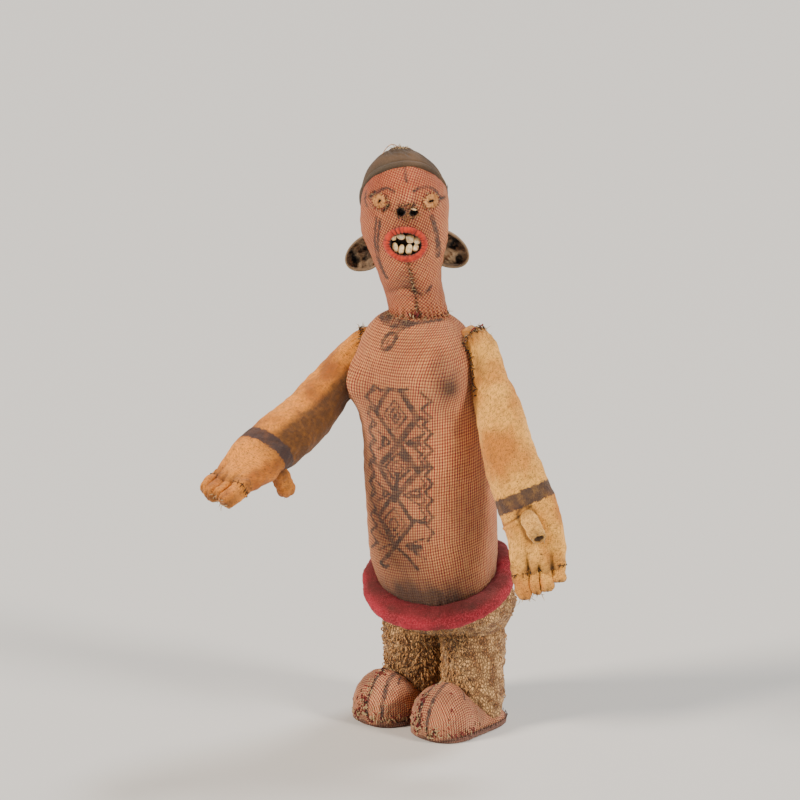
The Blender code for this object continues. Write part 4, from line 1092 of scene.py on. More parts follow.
for side_name, seed in (("left", 90), ("right", 95)):
    rows, cols = EAR_GRID
    inset, ahead = sections_at(EAR_PROFILE, rows, (0, 1))
    cup = ear_outline(side_name, inset, ahead, cols)
    inside = step(np.arange(rows)[:, None] / rows, 0.60, 0.78)
    crumple = 0.0026 * ripples(cup, 0.011, seed) + 0.0012 * abs(ripples(cup, 0.005, seed + 1))
    swell = inside * crumple + 0.0004 * ripples(cup, 0.012, seed + 2)
    cup = cup + swell[..., None] * facing
    # Painted shade: darker all over inside the cup, and almost black down in its folds.
    dirt_and_shade = inside * (0.15 + 0.85 * step(crumple, 0.0008, -0.0026))
    ear = surface("ear_cup_" + side_name, cup, ear_cotton, marks={"dirt_and_shade": dirt_and_shade})
    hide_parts("ear_" + side_name)
    roll = round_turn(10)[:, None]
    centre = ear_outline(side_name, EAR_WALL / 2, EAR_DEPTH + 0.0004, 160)
    outward = unit_of(centre - centre.mean(0))[:, None]
    rim = centre[:, None] + RIM_RADIUS * (np.cos(roll) * outward + np.sin(roll) * facing)
    ear_rim = surface("ear_rim_" + side_name, rim, rim_cotton, tyre=True)
    inner = ear_outline(side_name, 0.0035, 0.0065, 60)[22:39]
    away = unit_of(inner - inner.mean(0) + 0.002 * facing)
    name = "ear_stitches_" + side_name
    stitches(name, inner, away, facing, 0.0048, 0.0012, 0.00040, brown_thread, seed + 3, loose=0.4)

# ---------------------------------------------------------------- arms and palms
# Two stuffed sleeves of undyed tan cotton, gathered and whipped to the torso with dark thread, flattened
# into palms that are dented between the fingers, with a band of dark dye round each wrist.

ARM_PATHS = {  # from inside the shoulder to the end of the palm
    "left": (
        (0.0350, -0.0230, 0.3870),
        (0.0558, -0.0270, 0.3765),
        (0.0685, -0.0330, 0.3475),
        (0.0860, -0.0380, 0.3050),
        (0.1010, -0.0410, 0.2680),
        (0.1180, -0.0420, 0.2270),
        (0.1265, -0.0460, 0.1880),
    ),
    "right": (
        (-0.0500, -0.0330, 0.3840),
        (-0.0680, -0.0440, 0.3650),
        (-0.0815, -0.0620, 0.3420),
        (-0.0930, -0.0877, 0.3158),
        (-0.0998, -0.1237, 0.2962),
        (-0.1062, -0.1594, 0.2798),
        (-0.1126, -0.1885, 0.2650),
    ),
}
ARM_SIZES = {  # half breadth and half thickness at the same places
    "left": (
        (0.0120, 0.0120),
        (0.0135, 0.0150),
        (0.0172, 0.0180),
        (0.0232, 0.0200),
        (0.0258, 0.0205),
        (0.0275, 0.0165),
        (0.0250, 0.0115),
    ),
    "right": (
        (0.0140, 0.0130),
        (0.0190, 0.0170),
        (0.0215, 0.0190),
        (0.0238, 0.0205),
        (0.0258, 0.0205),
        (0.0266, 0.0165),
        (0.0226, 0.0105),
    ),
}
PALM_BREADTHS = {  # direction across the arm down to the wrist, and at the palm's end
    "left": ((0.848, 0.530, 0.0), (0.848, 0.530, 0.0)),
    "right": ((0.824, 0.109, -0.552), (0.977, -0.209, -0.036)),
}
WRIST = 0.72  # share of the arm's length
ARM_GRID = (200, 104)
ARM_SQUARENESS = 2.25
PALM_ROUNDING, END_ROWS = 0.0085, 22
BAND = {"left": (0.742, -0.06, 0.0072), "right": (0.765, -0.08, 0.0066)}  # place, slant, half width
FOLDS = {  # a crease below the band: points across and past the wrist in mm; depth, width and painted shade
    "left": ([(-30, 21), (-14, 16), (-5, 12), (2, 9)], 0.0016, 0.0013, 0.45),
    "right": ([(-4, 6), (1, 8), (7, 14)], 0.0009, 0.0009, 0.60),
}
FINGERS = (  # place across the palm's end, half width, then the length of each stub on the left and the right
    (-0.0185, 0.0072, 0.0290, 0.0270),
    (-0.0062, 0.0048, 0.0255, 0.0240),
    (0.0050, 0.0062, 0.0240, 0.0255),
    (0.0172, 0.0060, 0.0170, 0.0200),
)
FINGER_SHIFT = 0.0012  # the whole row of fingers, towards the outer side of the left hand

# Undyed cotton: matt and dusty, cream on the left arm, gone brown with grime on the right one.
arm_cottons = {
    "left": tan_cotton("undyed_plain_cotton", "#ffbb54", "#c87824"),
    "right": tan_cotton("undyed_plain_cotton_gone_brown", "#f89c32", "#9a4e14"),
}


def arm_frame(side_name, rows):
    """The rings' centres, the directions along, across and out of the palm, the sizes and the share."""
    table = np.column_stack([ARM_PATHS[side_name], ARM_SIZES[side_name]])
    table = np.column_stack([table, np.linspace(0, 1, len(table))])
    x, y, z, broad, thick, share = sections_at(table, rows, (0, 1, 2))
    centre = np.concatenate([x, y, z], axis=1)
    along = unit_of(np.gradient(centre, axis=0))
    blend = np.clip((share - WRIST) / (1 - WRIST), 0, 1)
    start, end = (np.array(breadth) for breadth in PALM_BREADTHS[side_name])
    across = start + blend * (end - start)
    across = unit_of(across - (across * along).sum(1)[:, None] * along)
    palm = np.cross(along, across) if side_name == "left" else np.cross(across, along)
    return centre, along, across, palm, broad, thick, share


def outside_torso(points):
    """Above 0 where a point is outside the torso's bag."""
    table = np.array(TORSO_SECTIONS)
    place = np.interp(points[..., 2], table[:, 0], np.arange(len(table)))
    x, y, wide, deep = (through(table[:, column], place) for column in range(1, 5))
    across, ahead = abs(points[..., 0] - x) / wide, abs(points[..., 1] - y) / deep
    value = across**TORSO_SQUARENESS + ahead**TORSO_SQUARENESS - 1
    return np.where(points[..., 2] > TORSO_SECTIONS[-1][0] + 0.001, 1, value)


for side_name, mirror, seed in (("left", 1, 110), ("right", -1, 130)):
    rows, cols = ARM_GRID
    centre, along, across, palm, broad, thick, share = arm_frame(side_name, rows)
    turn_down = np.linspace(0, math.pi / 2, END_ROWS + 1)[1:, None]
    centre = np.concatenate([centre, centre[-1] + PALM_ROUNDING * np.sin(turn_down) * along[-1]])
    fade = np.concatenate([np.ones((rows, 1)), np.maximum(np.cos(turn_down), 0.02) ** 0.55])
    order = np.append(np.arange(rows), np.full(END_ROWS, rows - 1))
    along, across, palm, share = along[order], across[order], palm[order], share[order]
    broad, thick = broad[order] * (0.25 + 0.75 * fade), thick[order] * fade
    angle = round_turn(cols) - math.pi / 2
    side = broad * softened(np.cos(angle), 2 / ARM_SQUARENESS)
    out = thick * softened(np.sin(angle), 2 / ARM_SQUARENESS)
    arm = centre[:, None] + side[..., None] * across[:, None] + out[..., None] * palm[:, None]
    normal = outwards(arm)
    run = np.append(0, np.cumsum(np.linalg.norm(np.diff(centre, axis=0), axis=1)))[:, None]
    hand_end = run[rows - 1]
    seam_row = np.argmax((outside_torso(arm) > 0) & (run > 0.010), axis=0)
    from_seam = run - run[seam_row, 0]

    dents = np.zeros_like(side)  # between the fingers
    for first, second in zip(FINGERS[:-1], FINGERS[1:]):
        between = mirror * ((first[0] + first[1] + second[0] - second[1]) / 2 + FINGER_SHIFT)
        reach = 0.024 if first is not FINGERS[1] else 0.008
        dents += bell(side - between, 0.0024) * step(run, hand_end - reach, hand_end + 0.004)
    dents = dents * np.where(np.sin(angle) > 0, 1.0, 0.4)
    lift = -0.0044 * dents * abs(np.sin(angle)) ** 0.5
    lift = lift + 0.0011 * ripples(arm, 0.055, seed) + 0.0005 * ripples(arm, 0.018, seed + 1)
    lift += 0.0002 * ripples(arm, 0.006, seed + 2)
    gathers = bell(from_seam, 0.014) * (from_seam > -0.004)
    lift += gathers * 0.0010 * np.sin(angle * 17 + 2 * ripples(arm, 0.03, seed + 3))
    lift += 0.0011 * bell(from_seam - 0.0015, 0.0024)
    place, slant, half_width = BAND[side_name]
    from_wrist = run - np.interp(place, share[:rows, 0], run[:rows, 0])
    fold_points, fold_depth, fold_width, fold_shade = FOLDS[side_name]
    on_palm = out > 0
    fold = from_strokes(side, from_wrist, [(0, fold_points)])
    lift -= fold_depth * bell(fold, fold_width) * on_palm
    if side_name == "left":  # a rise beside the fold
        beside = from_strokes(side, from_wrist - 0.003, [(0, fold_points[:3])])
        lift += 0.0012 * bell(beside, 0.0022) * on_palm
    arm = arm + lift[..., None] * normal

    across_band = (from_wrist - slant * side) / math.hypot(1, slant)
    stroke = abs(across_band) - half_width + 0.0004 * ripples(arm, 0.008, seed + 4)
    # Darker at the shoulder seam and at the palm's end; painted shade in the dents between the fingers and in
    # the fold below the band.
    dirt_and_shade = 0.38 * bell(from_seam, 0.010) + 0.72 * dents + 0.36 * bell(run - hand_end - 0.004, 0.006)
    dirt_and_shade = dirt_and_shade + fold_shade * bell(fold, 0.0010) * on_palm
    if side_name == "left":  # painted shade along the edge where the thumb is sewn down, and a worn spot high on the arm
        by_thumb = from_strokes(side, from_wrist, [(7.6, [(-4.5, 15), (-1.5, 33)])])
        dirt_and_shade = dirt_and_shade + 0.75 * bell(by_thumb, 0.0020) * on_palm
        dirt_and_shade = dirt_and_shade + 0.50 * bell(np.hypot(share - 0.25, 0.35 * (angle / math.pi - 0.72)), 0.07)
    else:  # brown underneath, partly grime and partly painted shade
        under = step(side / broad - np.interp(share, (0.2, 0.7), (0.15, -0.30)), 0.0, 0.45)
        under = under * step(share, 0.10, 0.30) * step(share, 0.88, 0.72)
        dirt_and_shade = dirt_and_shade + 0.90 * under * (0.97 + 0.05 * ripples(arm, 0.005, seed + 8))
    dirt_and_shade = dirt_and_shade + 0.16 * step(ripples(arm, 0.020, seed + 9), 0.4, 1.8)
    dirt_and_shade = dirt_and_shade + 0.14 * step(ripples(arm, 0.007, seed + 12), 0.8, 2.0)
    marks = {"stroke": stroke, "dirt_and_shade": np.clip(dirt_and_shade, 0, 0.90)}
    sleeve = surface("arm_sleeve_" + side_name, arm, arm_cottons[side_name], cloth_lengths(arm), marks)
    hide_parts("arm_" + side_name)

    at_seam = np.clip(seam_row + 1, 0, len(arm) - 2), np.arange(cols)
    seam_line, seam_out = arm[at_seam], normal[at_seam]
    along_seam = np.append(0, np.cumsum(np.linalg.norm(np.diff(seam_line, axis=0), axis=1)))
    at = np.linspace(0, along_seam[-1], 56, endpoint=False)
    places, out_way = (
        np.stack([np.interp(at, along_seam, column) for column in line.T], axis=-1)
        for line in (seam_line, seam_out)
    )
    out_way = unit_of(out_way)
    way = unit_of(np.cross(out_way, np.gradient(places, axis=0)))
    name = "shoulder_whipping_" + side_name
    stitches(name, places, out_way, way, 0.0052, 0.0012, 0.00040, brown_thread, seed + 5, loose=0.4)
    random = np.random.default_rng(seed + 6)
    pick = random.integers(0, cols, 90)
    row = np.clip(seam_row[pick] + random.integers(-1, 3, 90), 0, len(arm) - 1)
    name = "shoulder_fray_" + side_name
    loose_ends(name, arm[row, pick], normal[row, pick], 0.0042, 0.00024, undyed_thread, seed + 7)
    if side_name == "left":
        places, out_way = places + 0.0012 * out_way, unit_of(out_way + 0.4 * facing)
        seen = (out_way @ facing > 0.1).nonzero()[0]
        way = unit_of(np.cross(way, out_way) + 0.5 * way)
        for kind, k, length, thread in (
            ("dark", seen[::2], 0.0060, brown_thread),
            ("red", seen[1::4], 0.0045, maroon_thread),
        ):
            name = "shoulder_darning_" + kind
            stitches(name, places[k], out_way[k], way[k], length, 0.0014, 0.0006, thread, seed + 8, loose=0.6)
        edge = int(0.69 * cols)  # the front edge towards the torso
        row = np.argmin(abs(from_seam[:, [edge]] - np.linspace(0.002, 0.050, 11)), axis=0)
        places, out_way = arm[row, edge], normal[row, edge]
        way = unit_of(np.cross(out_way, along[row]) + 0.5 * along[row])
        name = "shoulder_edge_stitches"
        stitches(name, places, out_way, way, 0.0066, 0.0018, 0.00058, brown_thread, seed + 10, loose=0.7)
        places, out_way = places[::2], out_way[::2]
        loose_ends("shoulder_edge_fray", places, out_way, 0.0030, 0.00030, maroon_thread, seed + 11)

# ---------------------------------------------------------------- thumbs and fingers
# Short stuffed stubs of the same cotton. The left thumb is an open-ended roll sewn flat on the palm,
# the right one hangs; four fingers of uneven width are whipped to the end of each palm.

THUMBS = {  # place across, out of and along the palm from the wrist, then the run in the same directions
    "left": ((-0.0050, 0.0140, 0.0175), (0.0040, 0.0060, 0.0280)),
    "right": ((0.0210, -0.0020, 0.0190), (0.0180, 0.0220, 0.0)),
}
THUMB_SIZES = {"left": (0.0078, 0.0068), "right": (0.0080, 0.0080)}  # half width and half thickness
THUMB_GRID, FINGER_GRID = (64, 56), (48, 44)
FINGER_HALF_THICKNESS, FINGER_ROOT, FINGER_FULLNESS = 0.0078, 0.0080, 1.12
FINGER_SPREAD = 0.05 / 0.018  # the outermost ones turn outwards by this much for their place
STUB_SQUARENESS = 2.5

# The same undyed cotton, paler and yellower on the thumb that lies flat.
thumb_cottons = {
    "left": tan_cotton("undyed_plain_cotton_of_the_thumbs", "#ffc264", "#d8943a"),
    "right": arm_cottons["right"],
}


def stub(name, root, tip, across, sizes, seed, material, grid, open_end=False):
    """A stuffed stub from root to tip with a closed folded tip, or an open one whose hollow is painted dark
    as shade.
    """
    rows, cols = grid
    t = np.linspace(0, 1, rows)[:, None]
    if open_end:
        place = np.interp(t, [0, 0.72, 0.78, 0.84, 1], [0, 0.96, 1.0, 0.97, 0.62])
        marks_along = [0, 0.10, 0.25, 0.60, 0.72, 0.78, 0.84, 1]
        share = np.interp(t, marks_along, [0.35, 0.80, 1, 1, 0.80, 0.66, 0.52, 0.40])
        # the open end's hollow, to be coloured dark as painted shade
        dark = step(t, 0.78, 0.86)
    else:
        place = (1 - np.cos(t * math.pi)) / 2
        rounding = (1 - np.clip((place - 0.66) / 0.34, 0, 1) ** 3.2) ** (1 / 2.6)
        share = (1 - 0.55 * np.exp(-place / 0.06)) * np.maximum(rounding, 0.04)
        dark = 0 * t
    along = unit_of(tip - root)
    across = unit_of(across - (across @ along) * along)
    out = np.cross(along, across)
    angle = round_turn(cols)
    side = sizes[0] * share * softened(np.cos(angle), 2 / STUB_SQUARENESS)
    rise = sizes[1] * share * softened(np.sin(angle), 2 / STUB_SQUARENESS)
    if open_end:  # flattened towards the tip
        rise = rise * np.interp(t, (0.60, 0.80, 1.0), (1.0, 0.50, 0.25))
    points = (root + place * (tip - root))[:, None] + side[..., None] * across + rise[..., None] * out
    if open_end:  # and cut askew, so that the hollow shows as a slit
        points = points - (1.1 * rise * step(place, 0.45, 0.95))[..., None] * along
    lift = 0.0006 * ripples(points, 0.012, seed) + 0.0003 * ripples(points, 0.004, seed + 1)
    fold = bell(side + 0.0005, 0.0013) * step(place, 0.75, 1.0)
    lift = (lift - 0.0014 * fold * (not open_end)) * step(share, 0.0, 0.5)
    points = points + lift[..., None] * outwards(points)
    # Darker at the root and the tip; painted shade in the tip's fold, in the open end's hollow and along the
    # sides where the fingers touch.
    dirt_and_shade = 0.40 * bell(place, 0.24) + 0.36 * fold + 0.22 * step(place, 0.8, 1.0) + 0.95 * dark
    dirt_and_shade = dirt_and_shade + 0.40 * (not open_end) * abs(np.cos(angle)) ** 5
    marks = {"dirt_and_shade": np.clip(dirt_and_shade, 0, 0.97), "stroke": np.full((rows, cols), NO_STROKE)}
    made = surface(name, points, material, cloth_lengths(points), marks)
    return made, points


for side_name, mirror, seed in (("left", 1, 150), ("right", -1, 170)):
    centre, along, across, palm, _, _, share = arm_frame(side_name, 241)
    wrist = int(np.argmin(abs(share - WRIST)))
    directions = np.array([across[wrist], palm[wrist], along[wrist]])
    place, run = (np.array(shift) @ directions for shift in THUMBS[side_name])
    root, sizes, cotton = centre[wrist] + place, THUMB_SIZES[side_name], thumb_cottons[side_name]
    flat = side_name == "left"
    name = "thumb_stub_" + side_name
    thumb, points = stub(name, root, root + run, across[wrist], sizes, seed, cotton, THUMB_GRID, flat)
    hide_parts("thumb_" + side_name)
    ends = points[-18, ::5] if flat else points[-6, ::6]
    loose_ends("thumb_fray_" + side_name, ends, unit_of(run), 0.0022, 0.00022, undyed_thread, seed + 2)

    tied, tied_out, pointing = [], [], []
    for number, (place, half_width, *lengths) in enumerate(FINGERS):
        length = lengths[0] if side_name == "left" else lengths[1]
        root = centre[-1] + mirror * (place + FINGER_SHIFT) * across[-1] - FINGER_ROOT * along[-1]
        way = unit_of(along[-1] - FINGER_SPREAD * place * mirror * across[-1])
        tip = root + (FINGER_ROOT + length) * way
        node = f"finger_{side_name}_{number + 1}"
        sizes, cotton = (half_width * FINGER_FULLNESS, FINGER_HALF_THICKNESS), arm_cottons[side_name]
        finger_seed = seed + 10 * number
        finger, points = stub(node + "_stub", root, tip, across[-1], sizes, finger_seed, cotton, FINGER_GRID)
        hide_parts(node)
        ring = points[int(0.40 * len(points))]
        turns = np.linspace(0.2, math.pi - 0.2, 5)[:, None] * (1, -1)  # over the palm's side and the back
        picked = ring[(turns / math.tau * len(ring)).astype(int).ravel() % len(ring)]
        tied.append(picked)
        tied_out.append(unit_of(picked - ring.mean(0)))
        pointing.append(np.tile(way, (len(picked), 1)))
        if number < 2:
            ends, fray_seed = points[-7, ::7], seed + 3 + number
            loose_ends(node + "_fray", ends, way, 0.0040, 0.00032, undyed_thread, fray_seed)
    tied, tied_out, pointing = (np.concatenate(parts) for parts in (tied, tied_out, pointing))
    for face, face_name in enumerate(("palm", "back")):
        order = np.argsort((tied[face::2] - centre[-1]) @ across[-1])
        path = (tied + 0.0007 * tied_out)[face::2][order]
        path = path + np.random.default_rng(seed + 12 + face).normal(0, 0.0007, path.shape)
        threads(f"finger_seam_thread_{face_name}_{side_name}", path[None], 0.00036, brown_thread, thin=1.0)
    name = "finger_stitches_" + side_name
    stitches(name, tied, tied_out, pointing, 0.0042, 0.0009, 0.00040, brown_thread, seed + 9, loose=0.6)

# ---------------------------------------------------------------- hip roll
# A thick tube of crimson wool cloth, stuffed hard and joined into a ring round the waist. It has a
# short raised nap, and dust has settled into its top.

ROLL_RADIUS, ROLL_HALF_WIDTH, ROLL_HALF_DEPTH = 0.0103, 0.0656, 0.0562
ROLL_GRID = (320, 54)
NAP_COUNT, NAP_LENGTH = 2500, 0.0011

# Felted wool: matt crimson with darker and brighter flecks, and a pinkish bloom at its edges.
crimson = new_material(
    "felted_crimson_wool", 0.95, sheen_weight=0.30, sheen_roughness=0.5, sheen_tint=colour("#d8606a")
)
red = mottled(crimson, colour("#96162a"), "#6c1018", 24, 5.0, (0.3, 0.7))
red = mottled(crimson, red, "#c04450", 1.3, 3.0, (0.42, 0.72), 0.65)
red = mottled(crimson, red, "#3c0c10", 2.4, 3.0, (0.56, 0.72), 0.6)
red = tinted_by_mark(crimson, red, "#42201a")
finish(crimson, red, spots(crimson, 1.1), 0.0012)

rows, cols = ROLL_GRID
angle, roll = round_turn(rows)[:, None] + math.pi, round_turn(cols)[None]
across, ahead = np.sin(angle), np.cos(angle)
circle = np.stack([across, ahead, 0 * angle], axis=-1)
fat = ROLL_RADIUS * (1 + 0.035 * ripples(circle, 1.1, 180))
x = (ROLL_HALF_WIDTH + fat * np.cos(roll)) * across
y = -(ROLL_HALF_DEPTH + fat * np.cos(roll)) * ahead
roll_z = WAIST_Z + WAIST_SLOPE * (y + WAIST_SIDE_SLOPE * x) + fat * np.sin(roll)
tube = np.stack([WAIST_X + x, WAIST_Y + y, roll_z], axis=-1)
normal = outwards(tube)
lift = 0.0005 * ripples(tube, 0.022, 181) + 0.00025 * ripples(tube, 0.007, 182)
tube = tube + lift[..., None] * normal
dirt_and_shade = 0.75 * step(np.sin(roll), 0.20, 0.90) * step(ripples(tube, 0.05, 183), -1.8, 0.4)
dirt_and_shade = dirt_and_shade + 0.45 * step(ripples(tube, 0.028, 185), 0.9, 2.0)
hip_roll = surface("hip_roll_tube", tube, crimson, marks={"dirt_and_shade": np.clip(dirt_and_shade, 0, 1)}, tyre=True)
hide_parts("hip_roll")

random = np.random.default_rng(184)
pick = random.integers(0, rows, NAP_COUNT), random.integers(0, cols, NAP_COUNT)
root, away = tube[pick], unit_of(normal[pick] + 0.9 * random.normal(size=(NAP_COUNT, 3)))
t = np.linspace(0, 1, 3)[None, :, None]
bend = 0.0004 * random.normal(size=(NAP_COUNT, 1, 3))
nap = root[:, None] + NAP_LENGTH * t * away[:, None] + bend * t**2
threads("hip_roll_nap", nap, 0.00007, crimson, sides=3, thin=0.6)

# ---------------------------------------------------------------- hips and legs
# One pair of short trousers of looped cotton, tan gone brown, with the hips and both legs stuffed.
# Short loops stand in uneven upright rows over its nubby ground, most of them in front and inside.

HIP_SECTIONS = (  # as the torso's, from the waist down to the crotch
    (WAIST_Z - 0.0003, WAIST_X, WAIST_Y, 0.0550, 0.0462, WAIST_SLOPE),
    (0.138, 0.0010, -0.0015, 0.0652, 0.0485, 0.34),
    (0.124, -0.0012, 0.0050, 0.0696, 0.0500, 0.22),
    (0.108, -0.0066, 0.0120, 0.0664, 0.0460, 0.10),
    (0.095, -0.0095, 0.0170, 0.0610, 0.0360, 0.00),
    (0.087, -0.0106, 0.0190, 0.0480, 0.0220, 0.00),
)
LEG_SECTIONS = (  # height, half width and half depth
    (0.118, 0.0180, 0.0240),
    (0.095, 0.0295, 0.0325),
    (0.060, 0.0300, 0.0305),
    (0.030, 0.0300, 0.0300),
    (0.010, 0.0275, 0.0280),
)
ANKLES = {"left": (0.0235, 0.0165), "right": (-0.0447, 0.0215)}  # x and y of each leg's axis
HIP_GRID, LEG_GRID = (80, 320), (150, 230)
LOOP_PITCH, LOOP_LENGTH, NUB_PITCH = 0.0030, 0.0042, 0.0050

# Looped cotton: matt tan, each loop a small pale lump with painted shade in the gap round it.
looped = new_material("looped_cotton", 0.95, sheen_weight=0.1)
place = add(looped, "TexCoord", output="Object")
place = add(looped, "VectorMath", (place, (1, 1, 0.60)), operation="MULTIPLY")
inputs = {"Vector": place, "Scale": 1 / (2.2 * MM), "Randomness": 0.85}
knot = add(looped, "TexVoronoi", inputs, "Distance", feature="DISTANCE_TO_EDGE")
knot_gap_shade = add(looped, "MapRange", (knot, 0.03, 0.22, 0.72, 0.0), interpolation_type="SMOOTHSTEP")
tan = mottled(looped, colour("#e8b67a"), "#966436", 9, 5.0, (0.36, 0.66))
tan = add(looped, "Mix", {FACTOR: knot_gap_shade, UNDER: tan, OVER: colour("#37220f")}, MIXED, data_type="RGBA")
# Painted shade, darker still in the gaps between the nubs.
tan = tinted_by_mark(looped, tan, "#2a1b0e")
domed = add(looped, "MapRange", (knot, 0.0, 0.30), interpolation_type="SMOOTHSTEP")
finish(looped, tan, domed, 0.0012)
# The loops' own soft thread, in the same tan.
loop_thread = new_material("looped_cotton_thread", 0.95, sheen_weight=0.1)
tan = mottled(loop_thread, colour("#deac70"), "#7e5026", 5)
finish(loop_thread, tan, spots(loop_thread, 0.6, 2.0), 0.0004)


def pebbled(u, v, pitch, seed):
    """Lumps packed about one pitch apart: how deep a place lies inside its own lump, 0 in the gaps."""
    random = np.random.default_rng(seed)
    shift = random.uniform(-0.42, 0.42, (2, 128, 128))
    column, row = u / pitch, v / pitch
    away = []
    for i in (-1, 0, 1):
        for j in (-1, 0, 1):
            a, b = np.floor(column).astype(int) + i, np.floor(row).astype(int) + j
            du = a + 0.5 + shift[0, a % 128, b % 128] - column
            dv = b + 0.5 + shift[1, a % 128, b % 128] - row
            away.append(np.hypot(du, dv))
    away = np.sort(np.array(away), axis=0)
    return np.clip((away[1] - away[0]) / 0.7, 0, 1)


def nubbed(points, seed, nub_seed):
    """A grid swollen and lifted into nubs, most of them in front and inside, and how much painted shade its
    gaps get.
    """
    normal = outwards(points)
    swell = 0.0010 * ripples(points, 0.03, seed) + 0.0004 * ripples(points, 0.008, seed + 1)
    points = points + swell[..., None] * normal
    lengths = cloth_lengths(points)[:, :-1]
    twist = 0.0012 * ripples(points, 0.009, nub_seed + 2)
    lump = pebbled(lengths[..., 0] + twist, lengths[..., 1] * 0.85, NUB_PITCH, nub_seed)
    nubby = step(points[..., 0], 0.044, 0.030) * step(ripples(points, 0.035, nub_seed + 1), -1.5, 0.1)
    rise = (lump**0.6 * 1.9 - 0.6) * MM * (0.30 + 0.70 * nubby)
    gap_shade = 0.75 * step(lump, 0.30, 0.0) * (0.25 + 0.75 * nubby)
    return points + rise[..., None] * normal, normal, gap_shade


def loops_over(name, points, normal, seed, fewest, more, thick_from):
    """Short loops in upright rows over a grid, each an arc of thread; more of them past an x."""
    random = np.random.default_rng(seed)
    tall = np.linalg.norm(np.diff(points[:, 0], axis=0), axis=1).sum()
    girth = np.linalg.norm(np.diff(points[len(points) // 2], axis=0), axis=1).sum()
    many = int(tall / (LOOP_PITCH * 1.25)), int(girth / LOOP_PITCH)
    row, col = np.meshgrid(np.arange(many[0]), np.arange(many[1]), indexing="ij")
    row = row + 0.5 * (col % 2) + random.normal(0, 0.22, row.shape)
    col = col + random.normal(0, 0.18, col.shape)
    i = np.clip(row / many[0] * points.shape[0], 1, points.shape[0] - 2).astype(int).ravel()
    j = (col / many[1] * points.shape[1]).astype(int).ravel() % points.shape[1]
    chance = fewest + more * step(points[i, j, 0], 0.045, thick_from)
    kept = chance > random.uniform(0, 1, i.size)
    i, j = i[kept], j[kept]
    up = unit_of(points[i - 1, j] - points[i + 1, j])
    up = unit_of(up + 0.28 * random.normal(size=up.shape))[:, None]
    out = normal[i, j][:, None]
    t = np.linspace(-1, 1, 5)[None, :, None]
    size = random.uniform(0.75, 1.35, (len(i), 1, 1))
    bow = np.cross(up, out) * random.normal(0, 0.0005, (len(i), 1, 1))
    paths = points[i, j][:, None] + up * t * LOOP_LENGTH / 2 * size + (bow + 0.0012 * size * out) * (1 - t**2)
    made = threads(name, paths, 0.00056 * random.uniform(0.7, 1.4, len(i)), loop_thread, thin=0.55)


rows, cols = HIP_GRID
z, x, y, wide, deep, slope = sections_at(HIP_SECTIONS, rows, (0, 3))
across, ahead = oval(cols, TORSO_SQUARENESS)
rise = slope * (WAIST_SIDE_SLOPE * wide * across - deep * ahead)
hips = np.stack([x + wide * across, y - deep * ahead, z + rise], axis=-1)
hips, normal, gap_shade = nubbed(hips, 190, 198)
hip_cover = surface("hip_cover", hips, looped, marks={"dirt_and_shade": gap_shade})
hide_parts("legs")
loops_over("hip_loops", hips, normal, 192, 0.03, 0.22, 0.025)

rows, cols = LEG_GRID
for number, (side_name, ankle) in enumerate(ANKLES.items()):
    z, wide, deep = sections_at(LEG_SECTIONS, rows, (0, 1))
    across, ahead = oval(cols, 2.0)
    leg = np.stack([ankle[0] + wide * across, ankle[1] - deep * ahead, z + 0 * across], axis=-1)
    leg, normal, gap_shade = nubbed(leg, 193, 200 + number)
    leg_cover = surface("leg_cover_" + side_name, leg, looped, marks={"dirt_and_shade": gap_shade})
    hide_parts("legs")
    loops_over("leg_loops_" + side_name, leg, normal, 195 + number, 0.04, 0.36, 0.020)

# ---------------------------------------------------------------- feet and soles
# A dome of the check cloth round each ankle, gathered at the toe and darned with coarse thread, with
# two stripes of dye, sewn along its rim to a thin flat sole.

DOME_FOOT, SOLE_RIM, HEEL_BACK = 0.0032, 0.0006, 0.0305
FOOT_SECTIONS = (  # distance from the heel, half width, height above the sole
    (0.000, 0.0080, 0.0060),
    (0.004, 0.0180, 0.0100),
    (0.014, 0.0270, 0.0125),
    (0.030, 0.0310, 0.0145),
    (0.046, 0.0310, 0.0240),
    (0.060, 0.0310, 0.0375),
    (0.073, 0.0310, 0.0425),
    (0.085, 0.0290, 0.0400),
    (0.095, 0.0240, 0.0320),
    (0.102, 0.0160, 0.0210),
    (0.105, 0.0070, 0.0090),
)
TOE_OVERHANG = 0.0040  # how far the dome stands out past the sole at the toe
FOOT_TURN = {"left": math.radians(-10), "right": math.radians(-12)}
FOOT_STRIPES = {  # half width, then points across and along from the heel, in mm
    "left": [
        (1.8, [(-12, 64), (-9, 84), (-5, 106)]),
        (1.9, [(0, 64), (3, 84), (5, 106)]),
        (1.0, [(4, 60), (14, 62), (22, 68)]),
    ],
    "right": [
        (1.4, [(-5, 62), (0, 84), (5, 106)]),
        (2.1, [(7, 64), (13, 82), (19, 98)]),
        (1.2, [(14, 66), (20, 76)]),
    ],
}
DARNED = {"left": -0.0075, "right": -0.0010}  # where across each foot a darned line runs to the toe
FOOT_FULLNESS = 0.75
FOOT_STRETCH = 1 + 0.0028 / 0.0425  # brings the dome's top up to the ankle
FOOT_GRID = (120, 160)
FOOT_PITCH = (0.00225, 0.00260)
SOLE_MIDDLE = 0.0525  # from the heel
SOLE_COLS = 240
SOLE_PROFILE = (  # height, and how far out of the foot's outline: under the sole, round its rim and over
    (0.0000, -0.0080),
    (0.0000, -0.0008),
    (0.0005, 0.0004),
    (0.0018, SOLE_RIM),
    (0.0042, SOLE_RIM + 0.0003),
    (0.0056, 0.0009),
    (0.0060, -0.0010),
    (0.0061, -0.0060),
)

# The same check cotton, worn pale on the feet, with rows as strong as its upright stripes.
foot_check = checked_cotton(
    "loomed_check_cotton_of_the_feet", "#ffcf94", "#e0704a", "#5c1822", FOOT_PITCH, row_depth=1.0
)
